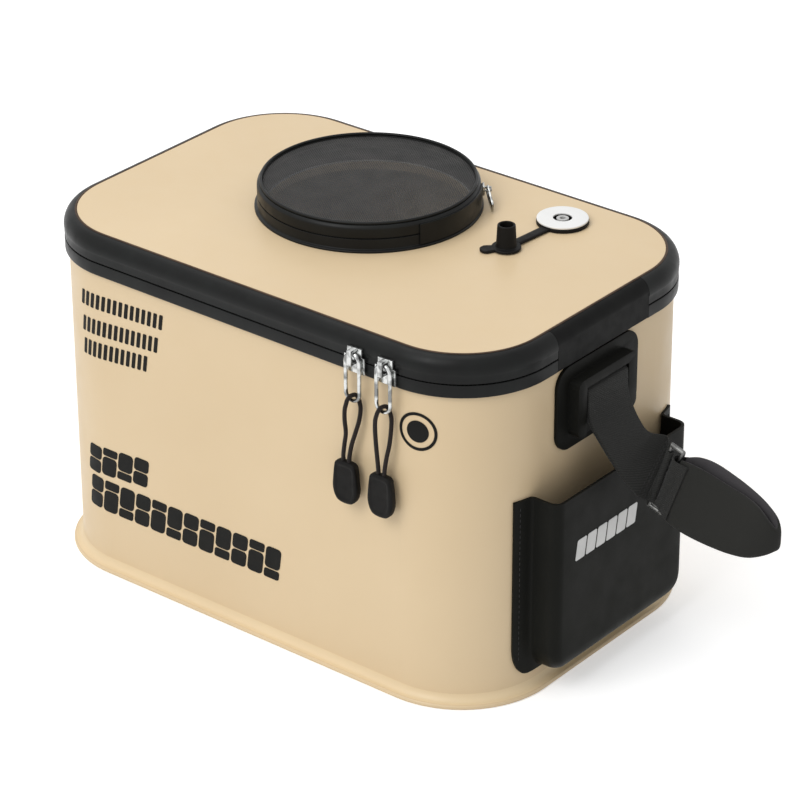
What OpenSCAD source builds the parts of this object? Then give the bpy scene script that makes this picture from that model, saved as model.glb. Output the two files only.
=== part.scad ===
// Aerated bait bucket: a welded foam-sheet tub with a zipped lid, a round mesh hatch,
// an air-line port with a tethered plug, a side pocket and a strap handle at each end.
// X runs along the length, the lid hinges on the +X end, Z is up, and the origin is
// at the middle of the base.

/* [Bucket] */
// Length of the tub, outside the walls
body_l = 400; // [360:5:460]
// Width of the tub, outside the walls
body_w = 261; // [235:1:300]
// Radius of the four upright corners
corner_r = 66; // [50:1:76]
// Thickness of the wall sheet
wall_t = 3; // [2:0.5:5]
// Height of the zip line above the floor
zip_h = 246.7; // [225:0.1:290]

/* [Base] */
// Thickness of the base panel
base_t = 3.5; // [2.5:0.5:6]
// How far the welded rim stands out past the walls
base_lip = 7; // [4:0.5:10]

/* [Trim band] */
// Height of the strip below the zip line
trim_low_h = 9.7; // [7:0.1:16]
// How far the band stands out past the walls
trim_out = 3; // [2:0.1:5]
// Height of the groove that hides each row of zip teeth
zip_groove_h = 2.8; // [2:0.1:4]
// Thickness of a row of zip teeth
zip_coil_d = 2.2; // [1.4:0.1:2.6]
// Gap at the zip line between lid and tub
zip_gap = 0.4; // [0.3:0.1:1]
// Length of the plain hinge strip
hinge_l = 102; // [60:1:120]

/* [Lid] */
// Thickness of the lid panel
lid_t = 5.5; // [4:0.5:9]
// Height of the lid's top above the zip line
lid_rise = 18.8; // [14:0.1:26]
// Width of the dark edge that the trim turns in over the lid
trim_in = 6.6; // [4:0.1:12]
// Thickness of the skirt that hangs inside the trim
skirt_t = 4; // [3:0.5:6]

/* [Hatch] */
// Distance of the hatch's middle from the lid's middle, along the length
hatch_x = -21.5; // [-60:0.5:10]
// Distance of the hatch's middle from the lid's middle, across the width
hatch_y = 27.5; // [0:0.5:34]
// Outer radius of the hatch collar
hatch_r = 78.5; // [60:0.5:84]
// Height of the collar that is welded to the lid
hatch_low_h = 9.9; // [7:0.1:16]
// Height of the rim that carries the mesh
hatch_up_h = 9.8; // [7:0.1:16]
// Thickness of the collar wall
hatch_t = 4; // [3:0.5:6]
// Pitch of the mesh's openings
mesh_pitch = 9; // [8.5:0.5:14]
// Width of the mesh's strands
mesh_strand = 1.6; // [1:0.1:3]
// Direction in which the hatch hinges, from +X
hatch_turn = 6; // [0:1:30]
// Angle that the plain hinge strip covers
hatch_span = 61; // [50:1:90]

/* [Air port] */
// Distance of the port from the tub's hinge end
port_from_end = 97; // [80:0.5:102]
// Distance of the port from the tub's back
port_from_back = 43.1; // [38.5:0.1:46.5]
// Radius of the port's disc
port_r = 18.5; // [15:0.5:21]
// Radius of the well that takes the plug
port_well_r = 6.7; // [5.5:0.1:8]
// Radius of the bore that takes the air line
air_bore_r = 2.1; // [1.5:0.1:3]
// Distance from the port to the plug that lies beside it
plug_reach = 58.3; // [50:0.1:62]
// Length of the plug's spigot
plug_h = 16.2; // [12:0.1:20]
// Width of the tether
tether_w = 7.5; // [5:0.5:10]
// Thickness of the tether and of the plug's flange
tether_t = 2.3; // [1.5:0.1:3]

/* [Zip pulls] */
// Place of the left slider along the length
pull_left_x = 100; // [60:1:104]
// Place of the right slider along the length
pull_right_x = 126; // [124:1:130]
// Thickness of the pull link's wire
link_wire = 2.8; // [2:0.1:3.4]
// Width of the pull link, between wire centres
link_w = 11.5; // [9:0.5:16]
// Height of the pull link, between wire centres
link_h = 34; // [24:1:44]
// Thickness of the pull cord
cord_d = 3; // [2:0.1:3.4]
// Width of the tag at its foot
tag_w = 21.5; // [16:0.5:26]
// Height of the tag
tag_h = 34; // [24:1:44]
// Thickness of the tag
tag_t = 6; // [4:0.5:8]

/* [Handles] */
// Place of the handles across the width
handle_y = -5; // [-12:1:4]
// Width of the patch that is welded to the wall
patch_w = 91; // [84:1:100]
// Height of the patch
patch_h = 62; // [56:1:72]
// Radius of the patch's corners
patch_r = 14; // [8:1:20]
// Thickness of the patch's plate
patch_t = 2.5; // [1.5:0.5:4]
// Width of the moulded block on the patch
block_w = 66; // [60:1:76]
// Height of the moulded block
block_h = 43; // [38:1:50]
// How far the block stands out from the patch's plate
block_out = 8.5; // [8:0.1:10]
// Diameter of the bar that the strap loops round
bar_d = 5; // [4:0.5:6]
// Width of the strap
strap_w = 45; // [40:1:50]
// Thickness of the doubled strap
strap_t = 3; // [2:0.5:4]
// Width of the padded grip
grip_w = 47; // [42:1:50]
// Thickness of the padded grip
grip_t = 6.5; // [5:0.5:8]
// Thickness of the ring's wire
ring_wire = 3.6; // [3:0.1:4.5]
// Distance from the bar down to the ring's middle
strap_drop = 62.5; // [60:0.5:66]
// Distance from the wall out to the middle of the right ring, as the strap bends
ring_reach = 54; // [52:0.5:57]
// Length of the folded grip, from the ring to its tip
grip_l = 87; // [80:1:94]

/* [Pocket] */
// Width of the pocket
pocket_w = 150; // [120:1:160]
// How far the pocket stands out from the wall
pocket_d = 23; // [15:1:26]
// Height of the pocket's mouth above the floor
pocket_top = 153; // [130:1:160]
// Height of the pocket's foot above the floor
pocket_foot = 17; // [12:1:40]
// Thickness of the pocket's sheet
pocket_t = 2; // [1.5:0.5:3]
// Radius of the pocket's corners, seen from its front
pocket_corner = 22; // [18:1:30]
// Radius of the pocket's lower front edge
pocket_round = 15; // [6:1:15]
// Width of the pocket's side flange
flange_w = 15; // [8:1:18]

/* [Hidden] */
$fn = 72;

eva_colour = [0.84, 0.73, 0.55];
trim_colour = [0.12, 0.12, 0.13];
strap_colour = [0.17, 0.17, 0.17];
mesh_colour = [0.2, 0.2, 0.2];
metal_colour = [0.78, 0.79, 0.8];
disc_colour = [0.93, 0.93, 0.92];
tag_colour = [0.13, 0.12, 0.12];

// Clearances
hair = 0.1;      // between pieces of one body
apart = 0.4;     // between pieces that move past each other
running = 0.06;  // all round a hinge bar
cut = 1;         // how far a cut runs past a face
bond = 0.6;      // how far joined shapes of one piece run into each other

// The tub's outline is four corner centres and a distance from them
mid_x = body_l / 2 - corner_r;
mid_y = body_w / 2 - corner_r;
wall_x = body_l / 2;
wall_y = body_w / 2;
lid_z = zip_h + lid_rise;
band_r = corner_r + trim_out;
trim_z = zip_h - trim_low_h;
lid_edge_r = corner_r - trim_in;
groove_r = band_r - zip_coil_d - 0.4;
coil_r = groove_r + hair + zip_coil_d / 2;
hinge_x = wall_x + trim_out;
port_x = wall_x - port_from_end;
port_y = wall_y - port_from_back;

// ---- shapes that repeat ----

// Filled outline of the tub at a distance r from the corner centres
module outline(r) {
    square([2 * mid_x, 2 * (mid_y + r)], center = true);
    square([2 * (mid_x + r), 2 * mid_y], center = true);
    for (sx = [-1, 1], sy = [-1, 1])
        translate([sx * mid_x, sy * mid_y]) circle(r);
}

// Flat plate on the tub's outline, from z0 to z1
module plate(r, z0, z1) {
    translate([0, 0, z0]) linear_extrude(z1 - z0) outline(r);
}

// Tube on the tub's outline
module tub_ring(r_in, r_out, z0, z1) {
    translate([0, 0, z0]) linear_extrude(z1 - z0) difference() {
        outline(r_out);
        outline(r_in);
    }
}

// Sweeps a profile, drawn as distance from the corner centres against height, all round
module around() {
    for (turn = [0, 90, 180, 270]) {
        across = turn % 180 == 0 ? mid_x : mid_y;
        along = turn % 180 == 0 ? mid_y : mid_x;
        rotate([0, 0, turn]) {
            translate([across, along, 0]) rotate_extrude(angle = 90) children();
            translate([across, along, 0]) rotate([90, 0, 0])
                linear_extrude(2 * along) children();
        }
    }
}

// Sweeps the same profile along the hinge strip alone
module along_hinge(length) {
    translate([mid_x, length / 2, 0]) rotate([90, 0, 0])
        linear_extrude(length) children();
}

// Block that the zip and its trim leave free for the hinge strip
module hinge_room(extra) {
    translate([wall_x - corner_r / 2, -hinge_l / 2 - extra, zip_h - lid_rise * 2])
        cube([corner_r, hinge_l + 2 * extra, lid_rise * 4]);
}

// Rounded rectangle in a plane that faces +X, with corners of radius r
module rounded(w, h, r) {
    square([w - 2 * r, h], center = true);
    square([w, h - 2 * r], center = true);
    for (sx = [-1, 1], sy = [-1, 1])
        translate([sx * (w / 2 - r), sy * (h / 2 - r)]) circle(r);
}

// Stands a drawing of Y against Z up at x, t thick
module facing_x(x, t) {
    translate([x, 0, 0]) rotate([90, 0, 90]) linear_extrude(t) children();
}

function unit(v) = v / norm(v);

function tangents(p) = [
    for (i = [0 : len(p) - 1]) unit(p[min(i + 1, len(p) - 1)] - p[max(i - 1, 0)])
];

function carried(t, u, i = 0) =
    i >= len(t) ? []
    : let (v = unit(u - (u * t[i]) * t[i])) concat([v], carried(t, v, i + 1));

// Smooth line through the points of p, with n steps between two of them
function through(p, n) = [
    for (i = [0 : len(p) - 2], k = [0 : n - 1])
        let (
            s = k / n,
            a = p[max(i - 1, 0)], b = p[i], c = p[i + 1], d = p[min(i + 2, len(p) - 1)]
        )
        0.5 * (2 * b + (c - a) * s + (2 * a - 5 * b + 4 * c - d) * s * s
            + (3 * b - a - 3 * c + d) * s * s * s),
    p[len(p) - 1]
];

// Closed skin over rings of m points each
module skin(rings) {
    m = len(rings[0]);
    last = len(rings) - 1;
    sides = [
        for (i = [0 : last - 1], k = [0 : m - 1], half = [0, 1])
            let (a = i * m + k, b = i * m + (k + 1) % m)
            half == 0 ? [a, a + m, b] : [b, a + m, b + m]
    ];
    polyhedron(
        points = [for (ring = rings) each ring],
        faces = concat(
            sides,
            [for (k = [1 : m - 2]) [0, k, k + 1]],
            [for (k = [1 : m - 2]) [last * m, last * m + k + 1, last * m + k]]
        )
    );
}

module tube(p, d, sides) {
    t = tangents(p);
    u = carried(t, [0, 1, 0]);
    skin([
        for (i = [0 : len(p) - 1]) [
            for (k = [0 : sides - 1])
                let (a = 360 * k / sides)
                p[i] + d / 2 * (cos(a) * u[i] + sin(a) * cross(t[i], u[i]))
        ]
    ]);
}

// Band along stations of [centre, width direction, thickness, width], each section
// being points of [share of half the width, share of half the thickness]
module band(stations, section, steps) {
    p = through([for (s = stations) s[0]], steps);
    v = through([for (s = stations) s[1]], steps);
    th = through([for (s = stations) s[2]], steps);
    w = through([for (s = stations) s[3]], steps);
    t = tangents(p);
    skin([
        for (i = [0 : len(p) - 1])
            let (
                across = unit(v[i]),
                out = unit(cross(t[i], across))
            )
            [for (s = section) p[i] + s[0] * w[i] / 2 * across + s[1] * th[i] / 2 * out]
    ]);
}

// ---- tub ----

module bucket_wall() {
    color(eva_colour) tub_ring(corner_r - wall_t, corner_r, base_t, zip_h - zip_gap / 2);
}

module base_panel() {
    edge = base_t / 2;
    color(eva_colour) {
        plate(corner_r + base_lip - edge, 0, base_t);
        around() translate([corner_r + base_lip - edge, edge]) circle(edge);
    }
}

module lower_trim_profile() {
    top = zip_h - zip_gap / 2;
    polygon([
        [corner_r + hair, trim_z], [band_r - 1, trim_z], [band_r, trim_z + 1],
        [band_r, top - zip_groove_h], [groove_r, top - zip_groove_h],
        [groove_r, top], [corner_r + hair, top]
    ]);
}

module lower_trim() {
    color(trim_colour) difference() {
        around() lower_trim_profile();
        hinge_room(hair);
    }
}

module zip_coil(z) {
    color(trim_colour) difference() {
        around() translate([coil_r, z]) circle(zip_coil_d / 2);
        hinge_room(hair);
    }
}

module lower_zip_coil() {
    zip_coil(zip_h - zip_gap / 2 - zip_coil_d / 2);
}

module hinge_strip_lower() {
    color(trim_colour) along_hinge(hinge_l) polygon([
        [corner_r + hair, trim_z], [band_r - 1, trim_z], [band_r, trim_z + 1],
        [band_r, zip_h - zip_gap / 2], [corner_r + hair, zip_h - zip_gap / 2]
    ]);
}

// ---- pocket ----

module pocket_outline(inset) {
    w = pocket_w - 2 * inset;
    r = pocket_corner - inset;
    foot = pocket_foot + inset;
    top = pocket_top + (inset > 0 ? cut : 0);
    translate([-w / 2, foot + r]) square([w, top - foot - r]);
    translate([-w / 2 + r, foot]) square([w - 2 * r, r + bond]);
    for (s = [-1, 1]) translate([s * (w / 2 - r), foot + r]) circle(r);
}

// Block over the whole pocket with its lower front edge rounded, drawn as X against Z
module pocket_side_profile(inset) {
    front = wall_x + pocket_d - inset;
    back = wall_x - wall_t - 2 * cut;
    foot = pocket_foot + inset;
    r = pocket_round - inset / 2;
    rotate([90, 0, 0]) translate([0, 0, -pocket_w]) linear_extrude(2 * pocket_w) {
        translate([back, foot]) square([front - back - r, zip_h]);
        translate([back, foot + r]) square([front - back, zip_h]);
        translate([front - r, foot + r]) circle(r);
    }
}

module side_pocket() {
    reach = wall_x + pocket_d;
    color(trim_colour) difference() {
        union() {
            intersection() {
                union() {
                    facing_x(wall_x - 6, pocket_d + 6 - 5) pocket_outline(0);
                    facing_x(reach - 5, 3) pocket_outline(1.2);
                    facing_x(reach - 2, 2) pocket_outline(3.2);
                }
                pocket_side_profile(0);
            }
            intersection() {
                tub_ring(corner_r, corner_r + pocket_t, pocket_foot + 2, pocket_top + 3);
                translate([mid_x, -pocket_w / 2 - flange_w, 0])
                    cube([corner_r * 2, pocket_w + 2 * flange_w - 4, zip_h]);
            }
        }
        intersection() {
            facing_x(wall_x - 12, pocket_d + 12 - pocket_t) pocket_outline(4);
            pocket_side_profile(pocket_t);
        }
        plate(corner_r + hair, 0, zip_h);
    }
}

// ---- handles: drawn on the right, mirrored for the left, which hangs at rest ----

patch_z = trim_z - 1 - patch_h / 2;
block_r = 6;
block_x = wall_x + patch_t + block_out;
channel_x = block_x - strap_t + 0.2;
block_z = patch_z - 0.5;
bar_x = block_x - strap_t - 0.7;
bar_z = block_z + block_h / 2 - 12.5;
channel_w = strap_w + 2;
sleeve_r = bar_d / 2 + running + 1.9;
bar_fit = bar_d / 2 + running;
window_h = 2 * sleeve_r + 2;

module handle_patch() {
    color(trim_colour) difference() {
        translate([0, handle_y, 0]) union() {
            facing_x(wall_x + hair, patch_t - hair)
                translate([0, patch_z]) rounded(patch_w, patch_h, patch_r);
            facing_x(wall_x + patch_t - bond, block_x - wall_x - patch_t + bond)
                translate([0, block_z]) rounded(block_w, block_h, block_r);
        }
        // channel for the strap below the bar, and the window round the bar
        translate([channel_x, handle_y - channel_w / 2, block_z - block_h])
            cube([block_x, channel_w, bar_z - block_z + block_h]);
        translate([wall_x + patch_t, handle_y - channel_w / 2, bar_z - window_h / 2])
            cube([block_x, channel_w, window_h]);
        bar_hole(bar_d / 2 + 0.02);
    }
}

bar_l = channel_w + 14; // 7 mm into the block at each side

module bar_hole(r) {
    translate([bar_x, handle_y + bar_l / 2, bar_z]) rotate([90, 0, 0])
        cylinder(h = bar_l, r = r);
}

module handle_bar() {
    color(metal_colour) bar_hole(bar_d / 2);
}

// Ring between strap and grip, in its own frame: Z along its long bars, X from the
// strap's bar to the grip's. The right one stands out on its stiff strap, with the strap
// half turned; on a strap that hangs, the ring lies level under the patch.
ring_c = [wall_x + ring_reach, handle_y + 9, bar_z - strap_drop];
ring_tilt = 18;
ring_gap = 9.5;
ring_in = grip_w + 3.5;
ring_long = [sin(ring_tilt), 0, cos(ring_tilt)];
ring_out = [cos(ring_tilt), 0, -sin(ring_tilt)];
bar_a = ring_c - ring_gap / 2 * ring_out;
bar_b = ring_c + ring_gap / 2 * ring_out;

strap_x = bar_x + sleeve_r - strap_t / 2;
hang_c = [strap_x, handle_y, bar_z - strap_drop];
hang_b = hang_c - [0, 0, ring_gap / 2];

module in_ring_frame(hangs) {
    translate(hangs ? hang_c : ring_c)
        rotate(hangs ? [-90, 90, 0] : [0, ring_tilt, 0]) children();
}

module strap_ring(hangs) {
    color(metal_colour) in_ring_frame(hangs) {
        for (s = [-1, 1]) {
            translate([s * ring_gap / 2, 0, -ring_in / 2 - ring_wire / 2])
                cylinder(h = ring_in + ring_wire, d = ring_wire);
            translate([-ring_gap / 2, 0, s * (ring_in + ring_wire) / 2])
                rotate([0, 90, 0]) cylinder(h = ring_gap, d = ring_wire);
            for (e = [-1, 1])
                translate([s * ring_gap / 2, 0, e * (ring_in + ring_wire) / 2])
                    sphere(d = ring_wire);
        }
    }
}

wrap_t = 1.6;
ring_fit = ring_wire + 2 * hair;

// Hollow sleeve round one long bar of the ring
module ring_sleeve(hangs, side, length) {
    in_ring_frame(hangs) translate([side * ring_gap / 2, 0, -length / 2])
        cylinder(h = length, d = ring_fit + 2 * wrap_t);
}

module ring_bore(hangs, side) {
    in_ring_frame(hangs) translate([side * ring_gap / 2, 0, -ring_in])
        cylinder(h = 2 * ring_in, d = ring_fit);
}

flat_section = [[-1, -1], [1, -1], [1, 1], [-1, 1]];

// One place along the strap: a point, its width's direction and the strap's own section
function on_strap(point, across) = [point, across, strap_t, strap_w];

strap_top = [strap_x, handle_y, bar_z];
strap_stations = [
    on_strap(strap_top, [0, 1, 0]),
    on_strap(strap_top - [0, 0, 10], [0, 1, 0]),
    on_strap(strap_top + [5, 0, -21.5], [0, 1, 0.02]),
    on_strap(strap_top + [19, 0.5, -39], [0.02, 1, 0.08]),
    on_strap(strap_top + [28, 2.5, -47.5], [0.13, 0.9, 0.36]),
    on_strap(bar_a + [-6.5, -3, 7], [0.27, 0.5, 0.82]),
    on_strap(bar_a, ring_long)
];
hanging_strap_stations = [
    on_strap(strap_top, [0, 1, 0]),
    on_strap(strap_top - [0, 0, strap_drop / 2], [0, 1, 0]),
    on_strap(hang_c + [0, 0, ring_gap / 2], [0, 1, 0])
];

module strap(hangs) {
    color(strap_colour) difference() {
        union() {
            band(hangs ? hanging_strap_stations : strap_stations, flat_section, 4);
            translate([bar_x, handle_y + strap_w / 2, bar_z]) rotate([90, 0, 0])
                cylinder(h = strap_w, r = sleeve_r);
            ring_sleeve(hangs, -1, strap_w);
        }
        bar_hole(bar_fit);
        ring_bore(hangs, -1);
    }
}

// Crowned section of the padded grip
pad_points = 16;
pad_section = [
    for (k = [0 : pad_points - 1])
        let (a = 360 * (k + 0.5) / pad_points)
        [sign(cos(a)) * pow(abs(cos(a)), 0.5), sign(sin(a)) * pow(abs(sin(a)), 0.8)]
];

grip_end_t = 3.2;

// One place along the grip: its share of the grip's length, its offset from the ring's
// middle, the width's direction, and its shares of the pad's thickness and width
function on_grip(share, y, z, across, thick, wide) =
    [ring_c + [4.5 + grip_l * share, y, z], across, grip_t * thick, grip_w * wide];

grip_stations = [
    [bar_b + [0, -2.6, 0], ring_long, grip_end_t, grip_w],
    on_grip(0.12, -7.5, -3.5, [0.25, 0.1, 0.96], 0.75, 1),
    on_grip(0.29, -9.5, -7, [0.12, 0.22, 0.96], 1, 0.95),
    on_grip(0.48, -10, -9.5, [0, 0.28, 0.95], 1, 0.88),
    on_grip(0.66, -9.5, -10.5, [0, 0.28, 0.95], 1, 0.84),
    on_grip(0.82, -7.5, -10.5, [0, 0.2, 0.97], 1, 0.77),
    on_grip(0.94, -3.5, -11.5, [0, 0.1, 0.99], 1, 0.64),
    on_grip(1, 3, -12.5, [0, 0, 1], 1, 0.54),
    on_grip(0.95, 8.5, -11.5, [0, -0.04, 1], 1, 0.62),
    on_grip(0.84, 10, -9, [0, -0.08, 0.99], 1, 0.78),
    on_grip(0.68, 10, -6.5, [0, -0.14, 0.99], 1, 0.9),
    on_grip(0.5, 9.5, -4, [0, -0.16, 0.98], 1, 0.96),
    on_grip(0.31, 8, -2, [0.08, -0.08, 0.98], 1, 1),
    on_grip(0.14, 5.5, -1.5, [0.25, 0, 0.97], 0.75, 1),
    [bar_b + [0, 2.6, 0], ring_long, grip_end_t, grip_w]
];

// The same on a grip that hangs: its share of the length and its distance from the strap
function on_hanging_grip(share, x, thick, wide) =
    [hang_b + [x, 0, -grip_l * share], [0, 1, 0], grip_t * thick, grip_w * wide];

hanging_grip_stations = [
    on_hanging_grip(0, 2.6, 0.5, 1),
    on_hanging_grip(0.12, 5.5, 0.75, 1),
    on_hanging_grip(0.29, 8, 1, 1),
    on_hanging_grip(0.48, 9.5, 1, 0.98),
    on_hanging_grip(0.66, 9.2, 1, 0.94),
    on_hanging_grip(0.82, 7.5, 1, 0.84),
    on_hanging_grip(0.93, 4.6, 1, 0.7),
    on_hanging_grip(0.965, 1, 1, 0.62),
    on_hanging_grip(0.93, -2.6, 1, 0.7),
    on_hanging_grip(0.82, -4.8, 1, 0.84),
    on_hanging_grip(0.66, -5.4, 1, 0.94),
    on_hanging_grip(0.48, -5.2, 1, 0.98),
    on_hanging_grip(0.29, -4.8, 1, 1),
    on_hanging_grip(0.12, -4, 0.75, 1),
    on_hanging_grip(0, -2.6, 0.5, 1)
];

module grip(hangs) {
    color(strap_colour) difference() {
        union() {
            band(hangs ? hanging_grip_stations : grip_stations, pad_section, 3);
            ring_sleeve(hangs, 1, grip_w);
        }
        ring_bore(hangs, 1);
    }
}

module on_left() {
    mirror([1, 0, 0]) children();
}

module handle_patch_right() { handle_patch(); }
module handle_patch_left() { on_left() handle_patch(); }
module handle_bar_right() { handle_bar(); }
module handle_bar_left() { on_left() handle_bar(); }
module strap_right() { strap(false); }
module strap_left() { on_left() strap(true); }
module strap_ring_right() { strap_ring(false); }
module strap_ring_left() { on_left() strap_ring(true); }
module grip_right() { grip(false); }
module grip_left() { on_left() grip(true); }

// ---- lid ----

neck_r = hatch_r - hatch_t - 2.5;
under_z = lid_z - lid_t;
lid_bottom = zip_h + zip_gap / 2;

module lid_panel() {
    color(eva_colour) difference() {
        union() {
            plate(lid_edge_r, under_z, lid_z);
            tub_ring(lid_edge_r - skirt_t + 2, lid_edge_r + 2, lid_bottom, under_z + bond);
            tub_ring(lid_edge_r - skirt_t, lid_edge_r + 2, under_z - 2, under_z + bond);
        }
        translate([hatch_x, hatch_y, under_z - cut])
            cylinder(h = lid_t + 2 * cut, r = neck_r);
        translate([port_x, port_y, under_z - cut])
            cylinder(h = lid_t + 2 * cut, r = port_well_r + 1.5 + hair);
    }
}

// Bulging profile of the lid's trim, from the zip groove up and in over the lid's edge
bulge_h = lid_rise - zip_groove_h - 0.6;
module lid_trim_profile() {
    foot = lid_bottom + zip_groove_h;
    inner = lid_edge_r + 2 + hair;
    polygon(concat(
        [[inner, lid_bottom], [groove_r, lid_bottom], [groove_r, foot]],
        [
            for (a = [-40 : 10 : 90])
                [
                    band_r - 8 + 8.2 * cos(a),
                    foot + 5 + 5.6 * sin(a) / (a < 0 ? 0.72 : 1) * (a < 0 ? 1 : (bulge_h - 5) / 5.6)
                ]
        ],
        [[lid_edge_r + hair, lid_z - 1.2], [lid_edge_r + hair, under_z + bond + hair],
         [inner, under_z + bond + hair]]
    ));
}

module lid_trim() {
    color(trim_colour) difference() {
        around() lid_trim_profile();
        hinge_room(hair);
    }
}

module lid_zip_coil() {
    zip_coil(lid_bottom + zip_coil_d / 2);
}

module hinge_strip_upper() {
    color(trim_colour) intersection() {
        union() {
            along_hinge(hinge_l) lid_trim_profile();
            along_hinge(hinge_l) translate([groove_r - 1, lid_bottom])
                square([band_r - groove_r + 1, zip_groove_h + 2]);
        }
        translate([0, -hinge_l / 2, 0]) cube([hinge_x, hinge_l, lid_z]);
    }
}

// ---- hatch ----

hatch_split = lid_z + hatch_low_h + zip_gap / 2;
hatch_top = hatch_split + zip_gap / 2 + hatch_up_h;
hatch_coil_d = 1.6;
hatch_coil_in = 1;
strip_t = 1.2;
hatch_axis_r = hatch_r + strip_t + 0.5;

module at_hatch() {
    translate([hatch_x, hatch_y, 0]) rotate([0, 0, hatch_turn]) children();
}

// Ring turned about the hatch's middle, over the stretch that the zip takes
module zipped_arc() {
    rotate([0, 0, hatch_span / 2 + 0.4]) rotate_extrude(angle = 360 - hatch_span - 0.8)
        children();
}

// The same over the plain hinge strip
module hinged_arc() {
    rotate([0, 0, -hatch_span / 2]) rotate_extrude(angle = hatch_span) children();
}

module hatch_collar() {
    top = hatch_split - zip_gap / 2;
    color(trim_colour) at_hatch() rotate_extrude() polygon([
        [hatch_r - hatch_t, lid_z], [hatch_r + 2, lid_z], [hatch_r + 2, lid_z + 1.6],
        [hatch_r, lid_z + 2.4], [hatch_r, top - 2.4], [hatch_r - hatch_coil_in, top - 2.4],
        [hatch_r - hatch_coil_in, top], [hatch_r - hatch_t, top]
    ]);
}

module hatch_coil(z) {
    color(trim_colour) at_hatch() zipped_arc()
        translate([hatch_r - hatch_coil_in + hair + hatch_coil_d / 2, z])
            circle(d = hatch_coil_d, $fn = 24);
}

module hatch_coil_lower() {
    hatch_coil(hatch_split - zip_gap / 2 - hatch_coil_d / 2 - 0.1);
}

module hatch_coil_upper() {
    hatch_coil(hatch_split + zip_gap / 2 + hatch_coil_d / 2 + 0.1);
}

module hinge_arc_strip(z0, z1) {
    color(trim_colour) at_hatch() hinged_arc()
        translate([hatch_r + hair, z0]) square([strip_t - hair, z1 - z0]);
}

module hatch_hinge_lower() {
    hinge_arc_strip(lid_z + 2.6, hatch_split - zip_gap / 2);
}

module hatch_hinge_upper() {
    hinge_arc_strip(hatch_split + zip_gap / 2, hatch_top - 3);
}

ledge_z = hatch_top - 1.8;
mesh_r = hatch_r - hatch_t;

module hatch_rim() {
    foot = hatch_split + zip_gap / 2;
    color(trim_colour) at_hatch() rotate_extrude() polygon([
        [hatch_r - hatch_t - 2.5, ledge_z - 1.6], [hatch_r - hatch_t, ledge_z - 4],
        [hatch_r - hatch_t, foot], [hatch_r - hatch_coil_in, foot],
        [hatch_r - hatch_coil_in, foot + 2.4], [hatch_r, foot + 2.4],
        [hatch_r, hatch_top - 3], [hatch_r - 1.6, hatch_top - 1],
        [hatch_r - 1.6, hatch_top - 0.6], [mesh_r + hair, hatch_top - 0.6],
        [mesh_r + hair, ledge_z], [hatch_r - hatch_t - 2.5, ledge_z]
    ]);
}

module hatch_mesh() {
    steps = floor(mesh_r / mesh_pitch);
    hole = mesh_pitch - mesh_strand;
    color(mesh_colour) at_hatch() translate([0, 0, ledge_z]) linear_extrude(0.8)
        difference() {
            circle(mesh_r);
            for (i = [-steps : steps], j = [-steps : steps])
                if (norm([abs(i) * mesh_pitch + hole / 2, abs(j) * mesh_pitch + hole / 2])
                    < mesh_r - 2.5)
                    translate([i * mesh_pitch, j * mesh_pitch])
                        square(hole, center = true);
        }
}

module hatch_piping() {
    color(trim_colour) at_hatch() rotate_extrude()
        translate([hatch_r - 2.9, hatch_top + 0.5]) circle(d = 2.2, $fn = 24);
}

// Slider that travels round the hatch on the outside of its zip
slider_angle = hatch_span / 2 + 4.5;
slide_r = hatch_r - hatch_coil_in + hair + hatch_coil_d + apart;
pull_wire = 1.6;
slider_plate_t = 1.4;
arch_h = 4;

module at_hatch_slider() {
    at_hatch() rotate([0, 0, slider_angle]) translate([0, 0, hatch_split]) children();
}

module hatch_slider() {
    color(metal_colour) at_hatch_slider() {
        translate([slide_r, -4, -3.4]) cube([slider_plate_t, 8, 6.8]);
        // arch that holds the pull
        for (s = [-1, 1])
            translate([slide_r + slider_plate_t - 0.2, s * 2.6 - 0.6, -0.7])
                cube([arch_h + 0.4, 1.2, 1.4]);
        translate([slide_r + slider_plate_t + arch_h, -3.2, -0.7]) cube([1, 6.4, 1.4]);
    }
}

// Slim pull that turns about its eye in the arch and droops towards the lid
pull_x = slide_r + slider_plate_t + arch_h / 2;
pull_l = 20;
eye_h = 3;
module hatch_pull() {
    color(metal_colour) at_hatch_slider() translate([pull_x, 0, 0])
        rotate([0, 0, 8]) rotate([18, 0, 0]) {
            translate([0, 0, -eye_h]) cylinder(h = 2 * eye_h, d = pull_wire, $fn = 24);
            for (s = [-1, 1]) translate([0, 0, s * eye_h]) rotate([90, 0, 0])
                cylinder(h = 7, d = pull_wire, $fn = 24);
            translate([-0.7, -pull_l, -eye_h - 0.4]) cube([1.4, pull_l - 6, 2 * eye_h + 0.8]);
        }
}

// ---- air port ----

disc_t = 1.4;
grommet_z = lid_z + 3;
disc_z = grommet_z + disc_t;
nipple_r = 4.3;
tether_turn = atan2(-58.1, -4.7);
tab_reach = 13.8;
tab_r = 5;
tab_neck = 6;
plug_z = lid_z + 0.3;
plug_axis_z = lid_z + 9.5;

// Frame at the port with +X towards the plug
module at_port() {
    translate([port_x, port_y, 0]) rotate([0, 0, tether_turn]) children();
}

module port_grommet() {
    color(trim_colour) at_port() difference() {
        union() {
            translate([0, 0, lid_z]) cylinder(h = grommet_z - lid_z, r = port_r);
            translate([0, 0, under_z - 2.5]) cylinder(h = lid_t + 3, r = port_well_r + 1.5);
            translate([0, 0, under_z - 2.5]) cylinder(h = 2.5 - hair, r = port_well_r + 5);
            translate([port_r - 2, -tether_w / 2, plug_z])
                cube([plug_reach / 2 - apart / 2 - port_r + 2, tether_w, tether_t]);
        }
        translate([0, 0, under_z - 3]) cylinder(h = lid_t + 9, r = port_well_r);
    }
}

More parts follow.
